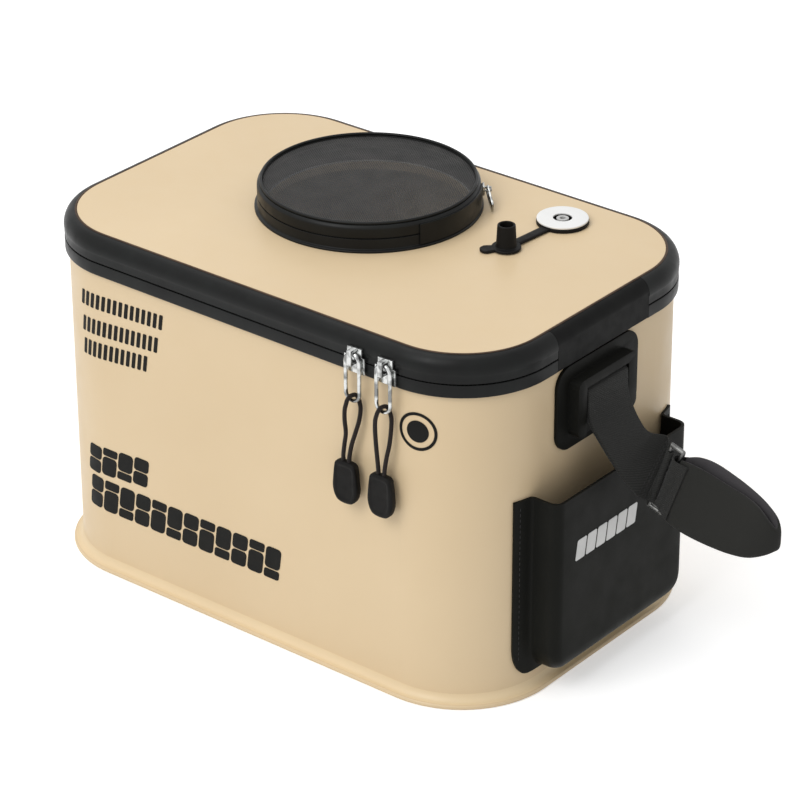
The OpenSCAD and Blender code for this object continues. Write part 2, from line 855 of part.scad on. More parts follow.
module port_disc() {
    color(disc_colour) at_port() difference() {
        translate([0, 0, grommet_z]) cylinder(h = disc_t, r = port_r - 0.3);
        translate([0, 0, grommet_z - cut]) cylinder(h = disc_t + 2 * cut, r = port_well_r);
    }
}

valve_z = under_z - 2.5;
module port_valve() {
    color([0.6, 0.6, 0.6]) at_port() difference() {
        union() {
            translate([0, 0, valve_z]) cylinder(h = 3, r = port_well_r - hair / 2);
            translate([0, 0, valve_z]) cylinder(h = disc_z - 0.6 - valve_z, r = nipple_r);
        }
        translate([0, 0, valve_z - cut])
            cylinder(h = disc_z - valve_z + 2 * cut, r = air_bore_r);
    }
}

module port_plug() {
    tip_r = port_well_r - 0.4;
    flange_r = 10.3;
    color(trim_colour) at_port() translate([plug_reach, 0, plug_z]) difference() {
        union() {
            cylinder(h = tether_t, r = flange_r);
            cylinder(h = tether_t + plug_h, r1 = tip_r + 0.9, r2 = tip_r);
            translate([-plug_reach / 2 + apart / 2, -tether_w / 2, 0])
                cube([plug_reach / 2 - flange_r + 2, tether_w, tether_t]);
            // pull tab
            rotate([0, 0, -33]) {
                translate([tab_reach, 0, 0]) cylinder(h = tether_t, r = tab_r);
                translate([flange_r / 2, -tab_neck / 2, 0])
                    cube([tab_reach - flange_r / 2, tab_neck, tether_t]);
            }
        }
        translate([0, 0, tether_t + 2]) cylinder(h = plug_h, r = nipple_r + 0.5);
    }
}

// ---- zip sliders and pulls on the front ----

plate_y = -wall_y - trim_out - apart;
link_y = plate_y - 2.4 - 0.5 - link_wire / 2;
link_z = zip_h + 6;
foot_z = link_z - link_h;
slider_w = 17;

module zip_slider(x) {
    color(metal_colour) translate([x, plate_y, 0]) {
        // plate with narrowed shoulders
        translate([-slider_w / 2, -2.4, zip_h - 8]) cube([slider_w, 2.4, 12]);
        translate([-slider_w / 2 + 2.5, -2.4, zip_h + 4 - bond])
            cube([slider_w - 5, 2.4, 6 + bond]);
        // nose that reaches in between the rows of teeth
        translate([-2, -bond, zip_h - 1.2]) cube([4, bond + 0.3, 2.4]);
        // arch that holds the link
        for (z = [zip_h - 1, link_z + link_wire / 2 + 0.5])
            translate([-1.8, link_y - plate_y - link_wire / 2 - 0.5 - 1.2, z])
                cube([3.6, plate_y - link_y + link_wire / 2 + 0.5, 2]);
        translate([-1.8, link_y - plate_y - link_wire / 2 - 0.5 - 2, zip_h - 1])
            cube([3.6, 2, link_z + link_wire / 2 + 0.5 + 3 - zip_h]);
    }
}

module zip_slider_left() { zip_slider(pull_left_x); }
module zip_slider_right() { zip_slider(pull_right_x); }

// Long link: two straight sides and two round ends
module pull_link(x) {
    r = link_w / 2;
    straight = link_h - link_w;
    color(metal_colour) translate([x, link_y, foot_z]) {
        for (s = [-1, 1])
            translate([s * r, 0, r]) cylinder(h = straight, d = link_wire, $fn = 32);
        translate([0, 0, r + straight]) rotate([90, 0, 0])
            rotate_extrude(angle = 180) translate([r, 0]) circle(d = link_wire, $fn = 32);
        translate([0, 0, r]) rotate([90, 0, 0]) rotate([0, 0, 180])
            rotate_extrude(angle = 180) translate([r, 0]) circle(d = link_wire, $fn = 32);
    }
}

module pull_link_left() { pull_link(pull_left_x); }
module pull_link_right() { pull_link(pull_right_x); }

// Cord routes from the tag up, over the link's foot and back, relative to the foot
tag_top = -47.5;
left_tag_x = -6;
right_tag_x = -2;
left_route = [
    [-3.5, 0, -47.5], [-3.4, 0.2, -43], [-2, 1, -34], [0.6, 1.7, -25], [3.2, 2.6, -15],
    [3.6, 3.7, -7], [2.6, 4, -2.5], [1.6, 3.6, 1.2], [0.6, 1.8, 3.6], [-0.6, -1.8, 3.6],
    [-1.6, -3.6, 1.2], [-2.6, -4, -2.5], [-3.9, -3.7, -7], [-5, -2.6, -15],
    [-4.8, -1.7, -25], [-6.6, -1, -34], [-8.4, -0.2, -43], [-8.5, 0, -47.5]
];
right_route = [
    [-4.5, 0, -47.5], [-4.5, -0.3, -43], [-4.6, -1.2, -34], [-4.8, -2, -25],
    [-4.8, -2.8, -15], [-4, -3.7, -7], [-2.8, -4, -2.5], [-1.6, -3.6, 1.2],
    [-0.6, -1.8, 3.6], [0.6, 1.8, 3.6], [1.6, 3.6, 1.2], [2.8, 4, -2.5], [3.8, 3.7, -7],
    [4, 2.8, -15], [3.2, 2, -25], [1.6, 1.2, -34], [0.6, 0.3, -43], [0.5, 0, -47.5]
];

module pull_cord(x, route) {
    color(tag_colour) tube(
        through([for (q = route) q + [x, link_y, foot_z]], 2), cord_d, 8
    );
}

module pull_cord_left() { pull_cord(pull_left_x, left_route); }
module pull_cord_right() { pull_cord(pull_right_x, right_route); }

module pull_tag(x) {
    top = foot_z + tag_top;
    r = 5;
    color(tag_colour) translate([x, link_y + tag_t / 2, top]) rotate([90, 0, 0])
        linear_extrude(tag_t) hull() {
            translate([-tag_w * 0.36 + 2, -2]) circle(2, $fn = 32);
            translate([tag_w * 0.36 - 2, -2]) circle(2, $fn = 32);
            translate([-tag_w / 2 + r, -tag_h + r + 6]) circle(r, $fn = 32);
            translate([tag_w / 2 - r, -tag_h + r + 6]) circle(r, $fn = 32);
            translate([0, -tag_h + 9]) circle(9, $fn = 32);
        }
}

module pull_tag_left() { pull_tag(pull_left_x + left_tag_x); }
module pull_tag_right() { pull_tag(pull_right_x + right_tag_x); }

bucket_wall();
base_panel();
lower_trim();
lower_zip_coil();
hinge_strip_lower();
side_pocket();
handle_patch_right();
handle_patch_left();
handle_bar_right();
handle_bar_left();
lid_panel();
lid_trim();
lid_zip_coil();
hinge_strip_upper();
hatch_collar();
hatch_coil_lower();
hatch_hinge_lower();
port_grommet();
port_disc();
port_valve();
hatch_rim();
hatch_mesh();
hatch_piping();
hatch_coil_upper();
hatch_hinge_upper();
hatch_slider();
hatch_pull();
port_plug();
zip_slider_left();
zip_slider_right();
pull_link_left();
pull_link_right();
pull_cord_left();
pull_cord_right();
pull_tag_left();
pull_tag_right();
strap_right();
strap_left();
strap_ring_right();
strap_ring_left();
grip_right();
grip_left();
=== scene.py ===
"""Looks of the aerated bait bucket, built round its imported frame.

Each sub-assembly is a class that holds its sizes in millimetres and builds and dresses its
own pieces. Meshes are made in metres, in the frame's own axes: +X towards the lid's hinge
and the pocket, +Y towards the back, +Z up, origin at the middle of the base.
"""
import logging
import math
from dataclasses import dataclass, field
from enum import Enum
from typing import Iterable, Sequence

import bmesh
import bpy
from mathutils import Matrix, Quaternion, Vector


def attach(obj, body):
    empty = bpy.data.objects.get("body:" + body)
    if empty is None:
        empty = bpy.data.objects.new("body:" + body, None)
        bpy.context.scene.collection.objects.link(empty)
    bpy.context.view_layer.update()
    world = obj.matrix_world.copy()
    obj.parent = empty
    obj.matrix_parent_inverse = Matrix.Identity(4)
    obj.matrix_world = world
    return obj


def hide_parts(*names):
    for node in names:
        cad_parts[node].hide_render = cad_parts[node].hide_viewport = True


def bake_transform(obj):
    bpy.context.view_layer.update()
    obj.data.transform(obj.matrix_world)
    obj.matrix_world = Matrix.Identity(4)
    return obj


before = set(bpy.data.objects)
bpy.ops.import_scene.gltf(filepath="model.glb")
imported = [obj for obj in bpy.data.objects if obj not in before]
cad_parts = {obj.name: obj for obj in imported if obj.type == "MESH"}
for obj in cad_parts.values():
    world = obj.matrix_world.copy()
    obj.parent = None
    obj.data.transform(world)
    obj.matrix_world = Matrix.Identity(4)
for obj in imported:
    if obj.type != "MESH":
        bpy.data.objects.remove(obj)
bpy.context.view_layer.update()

LOG = logging.getLogger("bait_bucket")
MM = 0.001
SHARP = math.radians(40)  # an edge that bends more than this stays sharp
SOFTENED = math.radians(35)  # an edge of a CAD node that bends more than this is rounded
FLAT = math.radians(1)  # faces of a CAD node that bend less than this become one
MERGE = 1e-4  # points nearer than this become one, in millimetres
NODE_MERGE = 2e-6  # the same for a CAD node, in metres

Point = tuple[float, float, float]
Profile = list[tuple[float, float]]


# ---------------------------------------------------------------- meshes


class Side(Enum):
    """The end of the bucket that a piece belongs to; the value is the sign of X."""

    RIGHT = 1
    LEFT = -1

    @property
    def word(self) -> str:
        """Name of the side as the nodes spell it."""
        return self.name.lower()


def to_vector(point: Sequence[float]) -> Vector:
    """Turns a triple into a vector."""
    return Vector((point[0], point[1], point[2]))


def arc(first: float, last: float, steps: int) -> list[float]:
    """Angles in radians on the way from one angle in degrees to another, ends included."""
    return [math.radians(first + (last - first) * k / steps) for k in range(steps + 1)]


def circle(points: int) -> list[float]:
    """Angles in radians of so many places round a circle."""
    return [2 * math.pi * k / points for k in range(points)]


def new_object(name: str, data: bpy.types.ID) -> bpy.types.Object:
    """Makes an object at the origin and links it to the scene."""
    obj = bpy.data.objects.new(name, data)
    bpy.context.scene.collection.objects.link(obj)
    return obj


def smooth_line(points: Sequence[Sequence[float]], steps: int) -> list[Vector]:
    """Runs a smooth line through points.

    Args:
        points: what the line passes through.
        steps: how many stretches lie between two points.

    Returns:
        The points along the line.
    """
    p = [to_vector(q) for q in points]
    n = len(p)
    line = []
    for i in range(n - 1):
        a, b, c, d = p[max(i - 1, 0)], p[i], p[i + 1], p[min(i + 2, n - 1)]
        for k in range(steps):
            s = k / steps
            line.append(
                0.5 * (2 * b + (c - a) * s + (2 * a - 5 * b + 4 * c - d) * s * s
                       + (3 * b - a - 3 * c + d) * s ** 3)
            )
    line.append(p[-1])
    return line


def tangents(line: Sequence[Vector], closed: bool = False) -> list[Vector]:
    """Directions along a line.

    Args:
        line: the line's points.
        closed: whether the line returns to its start.

    Returns:
        One direction for each point.
    """
    n = len(line)
    if closed:
        return [(line[(i + 1) % n] - line[i - 1]).normalized() for i in range(n)]
    return [(line[min(i + 1, n - 1)] - line[max(i - 1, 0)]).normalized() for i in range(n)]


def finish_mesh(name: str, bm: bmesh.types.BMesh) -> bpy.types.Object:
    """Turns a bmesh into an object with outward faces and smooth shading.

    Args:
        name: the piece's name.
        bm: the mesh, in millimetres; it is freed.

    Returns:
        The new object, at the origin.
    """
    bmesh.ops.remove_doubles(bm, verts=bm.verts, dist=MERGE)
    bmesh.ops.recalc_face_normals(bm, faces=bm.faces)
    bmesh.ops.scale(bm, vec=(MM, MM, MM), verts=bm.verts)
    for face in bm.faces:
        face.smooth = True
    for edge in bm.edges:
        edge.smooth = len(edge.link_faces) == 2 and edge.calc_face_angle(0.0) < SHARP
    mesh = bpy.data.meshes.new(name)
    bm.to_mesh(mesh)
    bm.free()
    return new_object(name, mesh)


def skin(name: str, rings: Sequence[Sequence[Vector]], loop: bool = False,
         open_ring: bool = False) -> bpy.types.Object:
    """Skins a row of rings, with a UV map that measures millimetres.

    Args:
        name: the piece's name.
        rings: rings of as many points each, in millimetres.
        loop: whether the last ring meets the first.
        open_ring: whether the rings are open lines, which leaves a sheet.

    Returns:
        The new object; U runs round the ring and V along the row.
    """
    bm = bmesh.new()
    uv_layer = bm.loops.layers.uv.new("along")
    rows = [[bm.verts.new(p) for p in ring] for ring in rings]
    m, n = len(rings[0]), len(rings)
    mids = [sum((to_vector(p) for p in ring), Vector()) / m for ring in rings]
    along = [0.0]
    for i in range(1, n + 1):
        along.append(along[-1] + (mids[i % n] - mids[i - 1]).length)
    for i in range(n if loop else n - 1):
        a, b = rows[i], rows[(i + 1) % n]
        ring = rings[i]
        u = [0.0]
        for k in range(m):
            u.append(u[-1] + (to_vector(ring[(k + 1) % m]) - to_vector(ring[k])).length)
        for k in range(m - 1 if open_ring else m):
            j = (k + 1) % m
            face = bm.faces.new((a[k], a[j], b[j], b[k]))
            corners = ((u[k], along[i]), (u[k + 1], along[i]),
                       (u[k + 1], along[i + 1]), (u[k], along[i + 1]))
            for corner, uv in zip(face.loops, corners):
                corner[uv_layer].uv = uv
    if not loop and not open_ring:
        bm.faces.new(rows[0])
        bm.faces.new(reversed(rows[-1]))
    return finish_mesh(name, bm)


def lathe(name: str, profile: Profile, centre: tuple[float, float], start: float = 0.0,
          sweep: float = 360.0, steps: int = 96) -> bpy.types.Object:
    """Turns a closed profile of radius against height about an upright axis.

    Args:
        name: the piece's name.
        profile: closed outline, (radius, height) in millimetres.
        centre: where the axis stands.
        start: the first angle, in degrees.
        sweep: how far the profile turns, in degrees.
        steps: how many stretches make the turn.

    Returns:
        The new object.
    """
    whole = sweep >= 360.0
    rings = []
    for i in range(steps if whole else steps + 1):
        a = math.radians(start + sweep * i / steps)
        rings.append([Vector((centre[0] + r * math.cos(a), centre[1] + r * math.sin(a), z))
                      for r, z in profile])
    return skin(name, rings, loop=whole)


def rounded_profile(corners: Profile, radius: float, steps: int = 4) -> Profile:
    """Rounds each corner of a closed outline.

    Args:
        corners: the outline's corners.
        radius: how far from a corner its curve begins, at most.
        steps: how many stretches make a curve.

    Returns:
        The rounded outline.
    """
    made: Profile = []
    n = len(corners)
    for i in range(n):
        here = Vector(corners[i])
        before, after = Vector(corners[i - 1]) - here, Vector(corners[(i + 1) % n]) - here
        reach = min(radius, before.length * 0.49, after.length * 0.49)
        a, b = here + before.normalized() * reach, here + after.normalized() * reach
        for k in range(steps + 1):
            t = k / steps
            p = a * (1 - t) ** 2 + here * 2 * t * (1 - t) + b * t * t
            made.append((p[0], p[1]))
    return made


def flat_section(width: float, thick: float) -> Profile:
    """Section of a flat band with round edges, as (across, out)."""
    r = thick / 2
    right = [(width / 2 - r + r * math.sin(a), r * math.cos(a)) for a in arc(0, 180, 6)]
    return right + [(-x, -y) for x, y in right]


def pad_section(width: float, thick: float) -> Profile:
    """Crowned section of a pad.

    Args:
        width: how wide the pad is.
        thick: how thick it is in its middle.

    Returns:
        The section's outline, as (across, out).
    """
    points, square, crown = 28, 0.5, 0.8
    made = []
    for k in range(points):
        a = 2 * math.pi * (k + 0.5) / points
        c, s = math.cos(a), math.sin(a)
        made.append((math.copysign(abs(c) ** square, c) * width / 2,
                     math.copysign(abs(s) ** crown, s) * thick / 2))
    return made


def band(name: str, line: Sequence[Vector], across: Sequence[Vector], sections: Sequence[Profile],
         loop: bool = False, mirrored: bool = False) -> bpy.types.Object:
    """Lays a flat section along a line.

    Args:
        name: the piece's name.
        line: the points that the band follows.
        across: the width's direction at each point.
        sections: the section at each point, or one section for all.
        loop: whether the band closes on itself.
        mirrored: whether the band is turned over to the bucket's left end.

    Returns:
        The new object.
    """
    directions = tangents(line, loop)
    rings = []
    for i, (p, t, w) in enumerate(zip(line, directions, across)):
        wide = w.normalized()
        out = t.cross(wide).normalized()
        section = sections[i] if len(sections) > 1 else sections[0]
        ring = [p + wide * x + out * y for x, y in section]
        if mirrored:
            ring = [Vector((-q.x, q.y, q.z)) for q in ring]
        rings.append(ring)
    return skin(name, rings, loop=loop)


def softened(name: str, nodes: Sequence[str], width: float, segments: int = 3) -> bpy.types.Object:
    """Makes a piece from CAD nodes with every sharp edge rounded, and hides the nodes.

    Args:
        name: the piece's name.
        nodes: the CAD nodes that the piece stands for.
        width: how wide the rounding is, in millimetres.
        segments: how many stretches make the rounding.

    Returns:
        The new object.
    """
    bm = bmesh.new()
    for node in nodes:
        bm.from_mesh(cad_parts[node].data)
    bmesh.ops.remove_doubles(bm, verts=bm.verts, dist=NODE_MERGE)
    bmesh.ops.dissolve_limit(bm, angle_limit=FLAT, verts=bm.verts, edges=bm.edges)
    bmesh.ops.recalc_face_normals(bm, faces=bm.faces)
    sharp = [e for e in bm.edges if len(e.link_faces) == 2 and e.calc_face_angle(0.0) > SOFTENED]
    bmesh.ops.bevel(bm, geom=sharp, offset=width * MM, segments=segments, profile=0.5,
                    affect="EDGES", clamp_overlap=True, miter_outer="ARC")
    bmesh.ops.scale(bm, vec=(1 / MM, 1 / MM, 1 / MM), verts=bm.verts)
    obj = finish_mesh(name, bm)
    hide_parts(*nodes)
    return obj


def lines_object(name: str, lines: Iterable[Sequence[Vector]]) -> bpy.types.Object:
    """Makes an object of bare lines for a Geometry Nodes tree to follow.

    Args:
        name: the object's name.
        lines: the lines, in millimetres.

    Returns:
        The new object.
    """
    verts: list[Vector] = []
    edges: list[tuple[int, int]] = []
    for line in lines:
        first = len(verts)
        verts.extend(to_vector(p) * MM for p in line)
        edges.extend((first + i, first + i + 1) for i in range(len(line) - 1))
    mesh = bpy.data.meshes.new(name)
    mesh.from_pydata(verts, edges, [])
    return new_object(name, mesh)


# ---------------------------------------------------------------- geometry nodes


class NodeTree:
    """A Geometry Nodes tree that is wired in code and then applied to an object."""

    def __init__(self, name: str) -> None:
        """Makes an empty tree with a geometry input and output."""
        self.tree = bpy.data.node_groups.new(name, "GeometryNodeTree")
        for way in ("INPUT", "OUTPUT"):
            self.tree.interface.new_socket("Geometry", in_out=way, socket_type="NodeSocketGeometry")
        self.sockets: dict[str, str] = {}
        self.source = self.tree.nodes.new("NodeGroupInput")
        self.sink = self.tree.nodes.new("NodeGroupOutput")

    def size(self, name: str, default: float) -> None:
        """Adds a named input for a size in metres."""
        socket = self.tree.interface.new_socket(name, in_out="INPUT", socket_type="NodeSocketFloat")
        socket.default_value = default
        self.sockets[name] = socket.identifier

    def material(self) -> None:
        """Adds the input for the finish."""
        socket = self.tree.interface.new_socket("Finish", in_out="INPUT",
                                                socket_type="NodeSocketMaterial")
        self.sockets["Finish"] = socket.identifier

    def add(self, kind: str, **settings: object) -> bpy.types.Node:
        """Adds a node and sets its properties."""
        node = self.tree.nodes.new(kind)
        for key, value in settings.items():
            setattr(node, key, value)
        return node

    def join(self, source: bpy.types.NodeSocket, target: bpy.types.NodeSocket) -> None:
        """Wires two sockets."""
        self.tree.links.new(source, target)

    def close(self, socket: bpy.types.NodeSocket) -> None:
        """Ends the tree in Realize Instances and Set Material."""
        real = self.add("GeometryNodeRealizeInstances")
        paint = self.add("GeometryNodeSetMaterial")
        self.join(socket, real.inputs["Geometry"])
        self.join(real.outputs["Geometry"], paint.inputs["Geometry"])
        self.join(self.source.outputs["Finish"], paint.inputs["Material"])
        self.join(paint.outputs["Geometry"], self.sink.inputs["Geometry"])

    def apply(self, obj: bpy.types.Object, name: str, finish: bpy.types.Material,
              **sizes: float) -> bpy.types.Object:
        """Runs the tree on an object and keeps the result as a plain mesh.

        Args:
            obj: the object of lines; it is removed.
            name: the new piece's name.
            finish: the material of the new piece.
            **sizes: the named inputs, with spaces as underscores, in metres.

        Returns:
            The new object.
        """
        modifier = obj.modifiers.new("rule", "NODES")
        modifier.node_group = self.tree
        modifier[self.sockets["Finish"]] = finish
        for key, value in sizes.items():
            modifier[self.sockets[key.replace("_", " ")]] = float(value)
        graph = bpy.context.evaluated_depsgraph_get()
        graph.update()
        mesh = bpy.data.meshes.new_from_object(obj.evaluated_get(graph), depsgraph=graph)
        mesh.name = name
        bpy.data.objects.remove(obj)
        for polygon in mesh.polygons:
            polygon.use_smooth = True
        return new_object(name, mesh)


def bead_tree() -> NodeTree:
    """Tree that sets long beads along a line, such as stitches or zip teeth.

    Returns:
        A tree with the inputs Pitch, Length, Width and Height.
    """
    t = NodeTree("beads_along_a_line")
    for name, value in (("Pitch", 0.003), ("Length", 0.002), ("Width", 0.0006), ("Height", 0.0006)):
        t.size(name, value)
    t.material()
    curve = t.add("GeometryNodeMeshToCurve")
    resample = t.add("GeometryNodeResampleCurve", mode="LENGTH")
    tangent = t.add("GeometryNodeInputTangent")
    turn = t.add("FunctionNodeAlignRotationToVector", axis="X")
    level = t.add("FunctionNodeAlignRotationToVector", axis="Z", pivot_axis="X")
    level.inputs["Vector"].default_value = (0.0, 0.0, 1.0)
    bead = t.add("GeometryNodeMeshUVSphere")
    bead.inputs["Segments"].default_value = 8
    bead.inputs["Rings"].default_value = 5
    bead.inputs["Radius"].default_value = 0.5
    size = t.add("ShaderNodeCombineXYZ")
    place = t.add("GeometryNodeInstanceOnPoints")
    t.join(t.source.outputs["Geometry"], curve.inputs[0])
    t.join(curve.outputs[0], resample.inputs["Curve"])
    t.join(t.source.outputs["Pitch"], resample.inputs["Length"])
    t.join(resample.outputs[0], place.inputs["Points"])
    t.join(tangent.outputs[0], turn.inputs["Vector"])
    t.join(turn.outputs[0], level.inputs["Rotation"])
    t.join(level.outputs[0], place.inputs["Rotation"])
    t.join(bead.outputs["Mesh"], place.inputs["Instance"])
    for axis, name in (("X", "Length"), ("Y", "Width"), ("Z", "Height")):
        t.join(t.source.outputs[name], size.inputs[axis])
    t.join(size.outputs[0], place.inputs["Scale"])
    t.close(place.outputs["Instances"])
    return t


def thread_tree() -> NodeTree:
    """Tree that gives lines a flat thread's section.

    Returns:
        A tree with the inputs Width and Height.
    """
    t = NodeTree("threads_on_lines")
    t.size("Width", 0.0006)
    t.size("Height", 0.0003)
    t.material()
    curve = t.add("GeometryNodeMeshToCurve")
    shape = t.add("GeometryNodeCurvePrimitiveQuadrilateral")
    sweep = t.add("GeometryNodeCurveToMesh")
    sweep.inputs["Fill Caps"].default_value = True
    t.join(t.source.outputs["Geometry"], curve.inputs[0])
    t.join(t.source.outputs["Width"], shape.inputs["Width"])
    t.join(t.source.outputs["Height"], shape.inputs["Height"])
    t.join(curve.outputs[0], sweep.inputs["Curve"])
    t.join(shape.outputs[0], sweep.inputs["Profile Curve"])
    t.close(sweep.outputs[0])
    return t


@dataclass(frozen=True)
class Bead:
    """Sizes of a bead that is repeated along a line, in millimetres."""

    pitch: float
    length: float
    width: float
    height: float


EDGE_TOOTH = Bead(2.6, 1.8, 1.6, 2.1)
HATCH_TOOTH = Bead(2.1, 1.3, 0.9, 1.6)
POCKET_STITCH = Bead(4.0, 2.7, 0.6, 0.6)
STRAP_STITCH = Bead(3.2, 2.4, 0.6, 0.6)


# ---------------------------------------------------------------- finishes


class Graph:
    """A material whose nodes are wired in code."""

    def __init__(self, name: str) -> None:
        """Makes the material with its Principled shader."""
        self.material = bpy.data.materials.new(name)
        self.material.use_nodes = True
        self.nodes = self.material.node_tree.nodes
        self.links = self.material.node_tree.links
        self.shader = self.nodes["Principled BSDF"]

    def add(self, kind: str, inputs: dict[str, object] | None = None,
            **settings: object) -> bpy.types.Node:
        """Adds a node, sets its properties and the values of its inputs."""
        node = self.nodes.new(kind)
        for key, value in settings.items():
            setattr(node, key, value)
        for key, value in (inputs or {}).items():
            node.inputs[key].default_value = value
        return node

    def set(self, **values: object) -> None:
        """Sets the shader's own sockets, with spaces as underscores."""
        for key, value in values.items():
            self.shader.inputs[key.replace("_", " ")].default_value = value

    def place(self, uv: bool = False) -> bpy.types.NodeSocket:
        """Coordinates of the piece: its own UV map in millimetres, or its object space."""
        return self.add("ShaderNodeTexCoord").outputs["UV" if uv else "Object"]

    def noise(self, where: bpy.types.NodeSocket, scale: float,
              detail: float) -> bpy.types.NodeSocket:
        """Noise of so many grains a unit."""
        node = self.add("ShaderNodeTexNoise", {"Scale": scale, "Detail": detail})
        self.links.new(where, node.inputs["Vector"])
        return node.outputs["Fac"]

    def spread(self, value: bpy.types.NodeSocket, low: float, high: float,
               start: float = 0.3, end: float = 0.7) -> bpy.types.NodeSocket:
        """Maps a value from start..end to low..high."""
        node = self.add("ShaderNodeMapRange",
                        {"From Min": start, "From Max": end, "To Min": low, "To Max": high})
        self.links.new(value, node.inputs["Value"])
        return node.outputs["Result"]

    def math(self, operation: str, a: object, b: object = None) -> bpy.types.NodeSocket:
        """Does sums with sockets or numbers.

        Args:
            operation: the sum, as the Math node names it.
            a: the first socket or number.
            b: the second one, where the sum takes two.

        Returns:
            The result's socket.
        """
        node = self.add("ShaderNodeMath", operation=operation)
        for slot, value in enumerate((a, b)):
            if isinstance(value, bpy.types.NodeSocket):
                self.links.new(value, node.inputs[slot])
            elif value is not None:
                node.inputs[slot].default_value = value
        return node.outputs[0]

    def mix(self, share: bpy.types.NodeSocket, a: Point, b: Point) -> bpy.types.NodeSocket:
        """Mixes two colours by a socket.

        Args:
            share: the socket, 0 for the first colour and 1 for the second.
            a: the first colour.
            b: the second colour.

        Returns:
            The mixed colour's socket.
        """
        node = self.add("ShaderNodeMix", data_type="RGBA")
        node.inputs[6].default_value = (*a, 1.0)
        node.inputs[7].default_value = (*b, 1.0)
        self.links.new(share, node.inputs[0])
        return node.outputs[2]

    def colour(self, socket: bpy.types.NodeSocket) -> None:
        """Wires the base colour."""
        self.links.new(socket, self.shader.inputs["Base Color"])

    def rough(self, socket: bpy.types.NodeSocket) -> None:
        """Wires the roughness."""
        self.links.new(socket, self.shader.inputs["Roughness"])

    def bump(self, height: bpy.types.NodeSocket, depth: float, strength: float) -> None:
        """Adds relief on top of what is there.

        Args:
            height: the relief's socket.
            depth: how deep it is, in millimetres.
            strength: how much of it shows.
        """
        node = self.add("ShaderNodeBump", {"Strength": strength, "Distance": depth * MM})
        self.links.new(height, node.inputs["Height"])
        target = self.shader.inputs["Normal"]
        if target.is_linked:
            self.links.new(target.links[0].from_socket, node.inputs["Normal"])
        self.links.new(node.outputs["Normal"], target)


Span = tuple[float, float]
Grain = tuple[float, float, float, float]


@dataclass(frozen=True)
class Coat:
    """Finish whose tone and gloss drift with noise, over relief.

    A drift holds the noise's scale and detail. The gloss span holds how far the roughness goes
    below and above gloss. A grain holds scale, detail, depth in millimetres and strength.
    """

    name: str
    light: Point
    dark: Point
    gloss: float
    shine: float
    tone_drift: Span
    gloss_drift: Span
    gloss_span: Span
    grains: tuple[Grain, ...]
    tone_span: Span = (0.3, 0.7)
    metallic: float = 0.0

    def make(self) -> bpy.types.Material:
        """Builds the material."""
        g = Graph(self.name)
        where = g.place()
        share = g.spread(g.noise(where, *self.tone_drift), 0.0, 1.0, *self.tone_span)
        g.colour(g.mix(share, self.dark, self.light))
        below, above = self.gloss_span
        g.rough(g.spread(g.noise(where, *self.gloss_drift), self.gloss - below, self.gloss + above))
        for scale, detail, depth, strength in self.grains:
            g.bump(g.noise(where, scale, detail), depth, strength)
        g.set(Specular_IOR_Level=self.shine, Metallic=self.metallic)
        return g.material


@dataclass(frozen=True)
class FoamSkin(Coat):
    """Coated closed-cell foam sheet: faint mottling and a fine pressed grain."""

    gloss: float = 0.42
    shine: float = 0.42
    tone_drift: Span = (7.0, 3.0)
    gloss_drift: Span = (60.0, 3.0)
    gloss_span: Span = (0.05, 0.06)
    grains: tuple[Grain, ...] = ((900.0, 2.0, 0.05, 0.5), (22.0, 1.0, 0.35, 0.3))


@dataclass(frozen=True)
class CoatedTrim(Coat):
    """Black coated tape: soft clouds and a low sheen."""

    light: Point = (0.010, 0.011, 0.0105)
    dark: Point = (0.006, 0.006, 0.006)
    gloss: float = 0.36
    shine: float = 0.15
    tone_drift: Span = (40.0, 4.0)
    gloss_drift: Span = (120.0, 3.0)
    gloss_span: Span = (0.06, 0.1)
    grains: tuple[Grain, ...] = ((1400.0, 2.0, 0.04, 0.5), (45.0, 2.0, 0.25, 0.35))


@dataclass(frozen=True)
class Rubber(Coat):
    """Moulded rubber with a matt skin."""

    light: Point = (0.011, 0.0105, 0.010)
    dark: Point = (0.006, 0.0056, 0.0052)
    gloss: float = 0.5
    shine: float = 0.1
    tone_drift: Span = (55.0, 4.0)
    gloss_drift: Span = (200.0, 3.0)
    gloss_span: Span = (0.07, 0.09)
    grains: tuple[Grain, ...] = ((1100.0, 3.0, 0.06, 0.6),)


@dataclass(frozen=True)
class PlatedMetal(Coat):
    """Plated die casting with darker clouds and a faint orange-peel."""

    light: Point = (0.60, 0.61, 0.60)
    dark: Point = (0.216, 0.2196, 0.216)
    gloss: float = 0.16
    shine: float = 0.5
    tone_drift: Span = (170.0, 2.0)
    gloss_drift: Span = (300.0, 3.0)
    gloss_span: Span = (0.04, 0.1)
    grains: tuple[Grain, ...] = ((350.0, 2.0, 0.05, 0.4),)
    tone_span: Span = (0.4, 0.58)
    metallic: float = 1.0


@dataclass(frozen=True)
class HardPlastic(Coat):
    """Moulded plastic with a satin skin."""

    gloss: float = 0.28
    shine: float = 0.4
    tone_drift: Span = (80.0, 3.0)
    gloss_drift: Span = (160.0, 2.0)
    gloss_span: Span = (0.05, 0.07)
    grains: tuple[Grain, ...] = ((700.0, 2.0, 0.03, 0.4),)


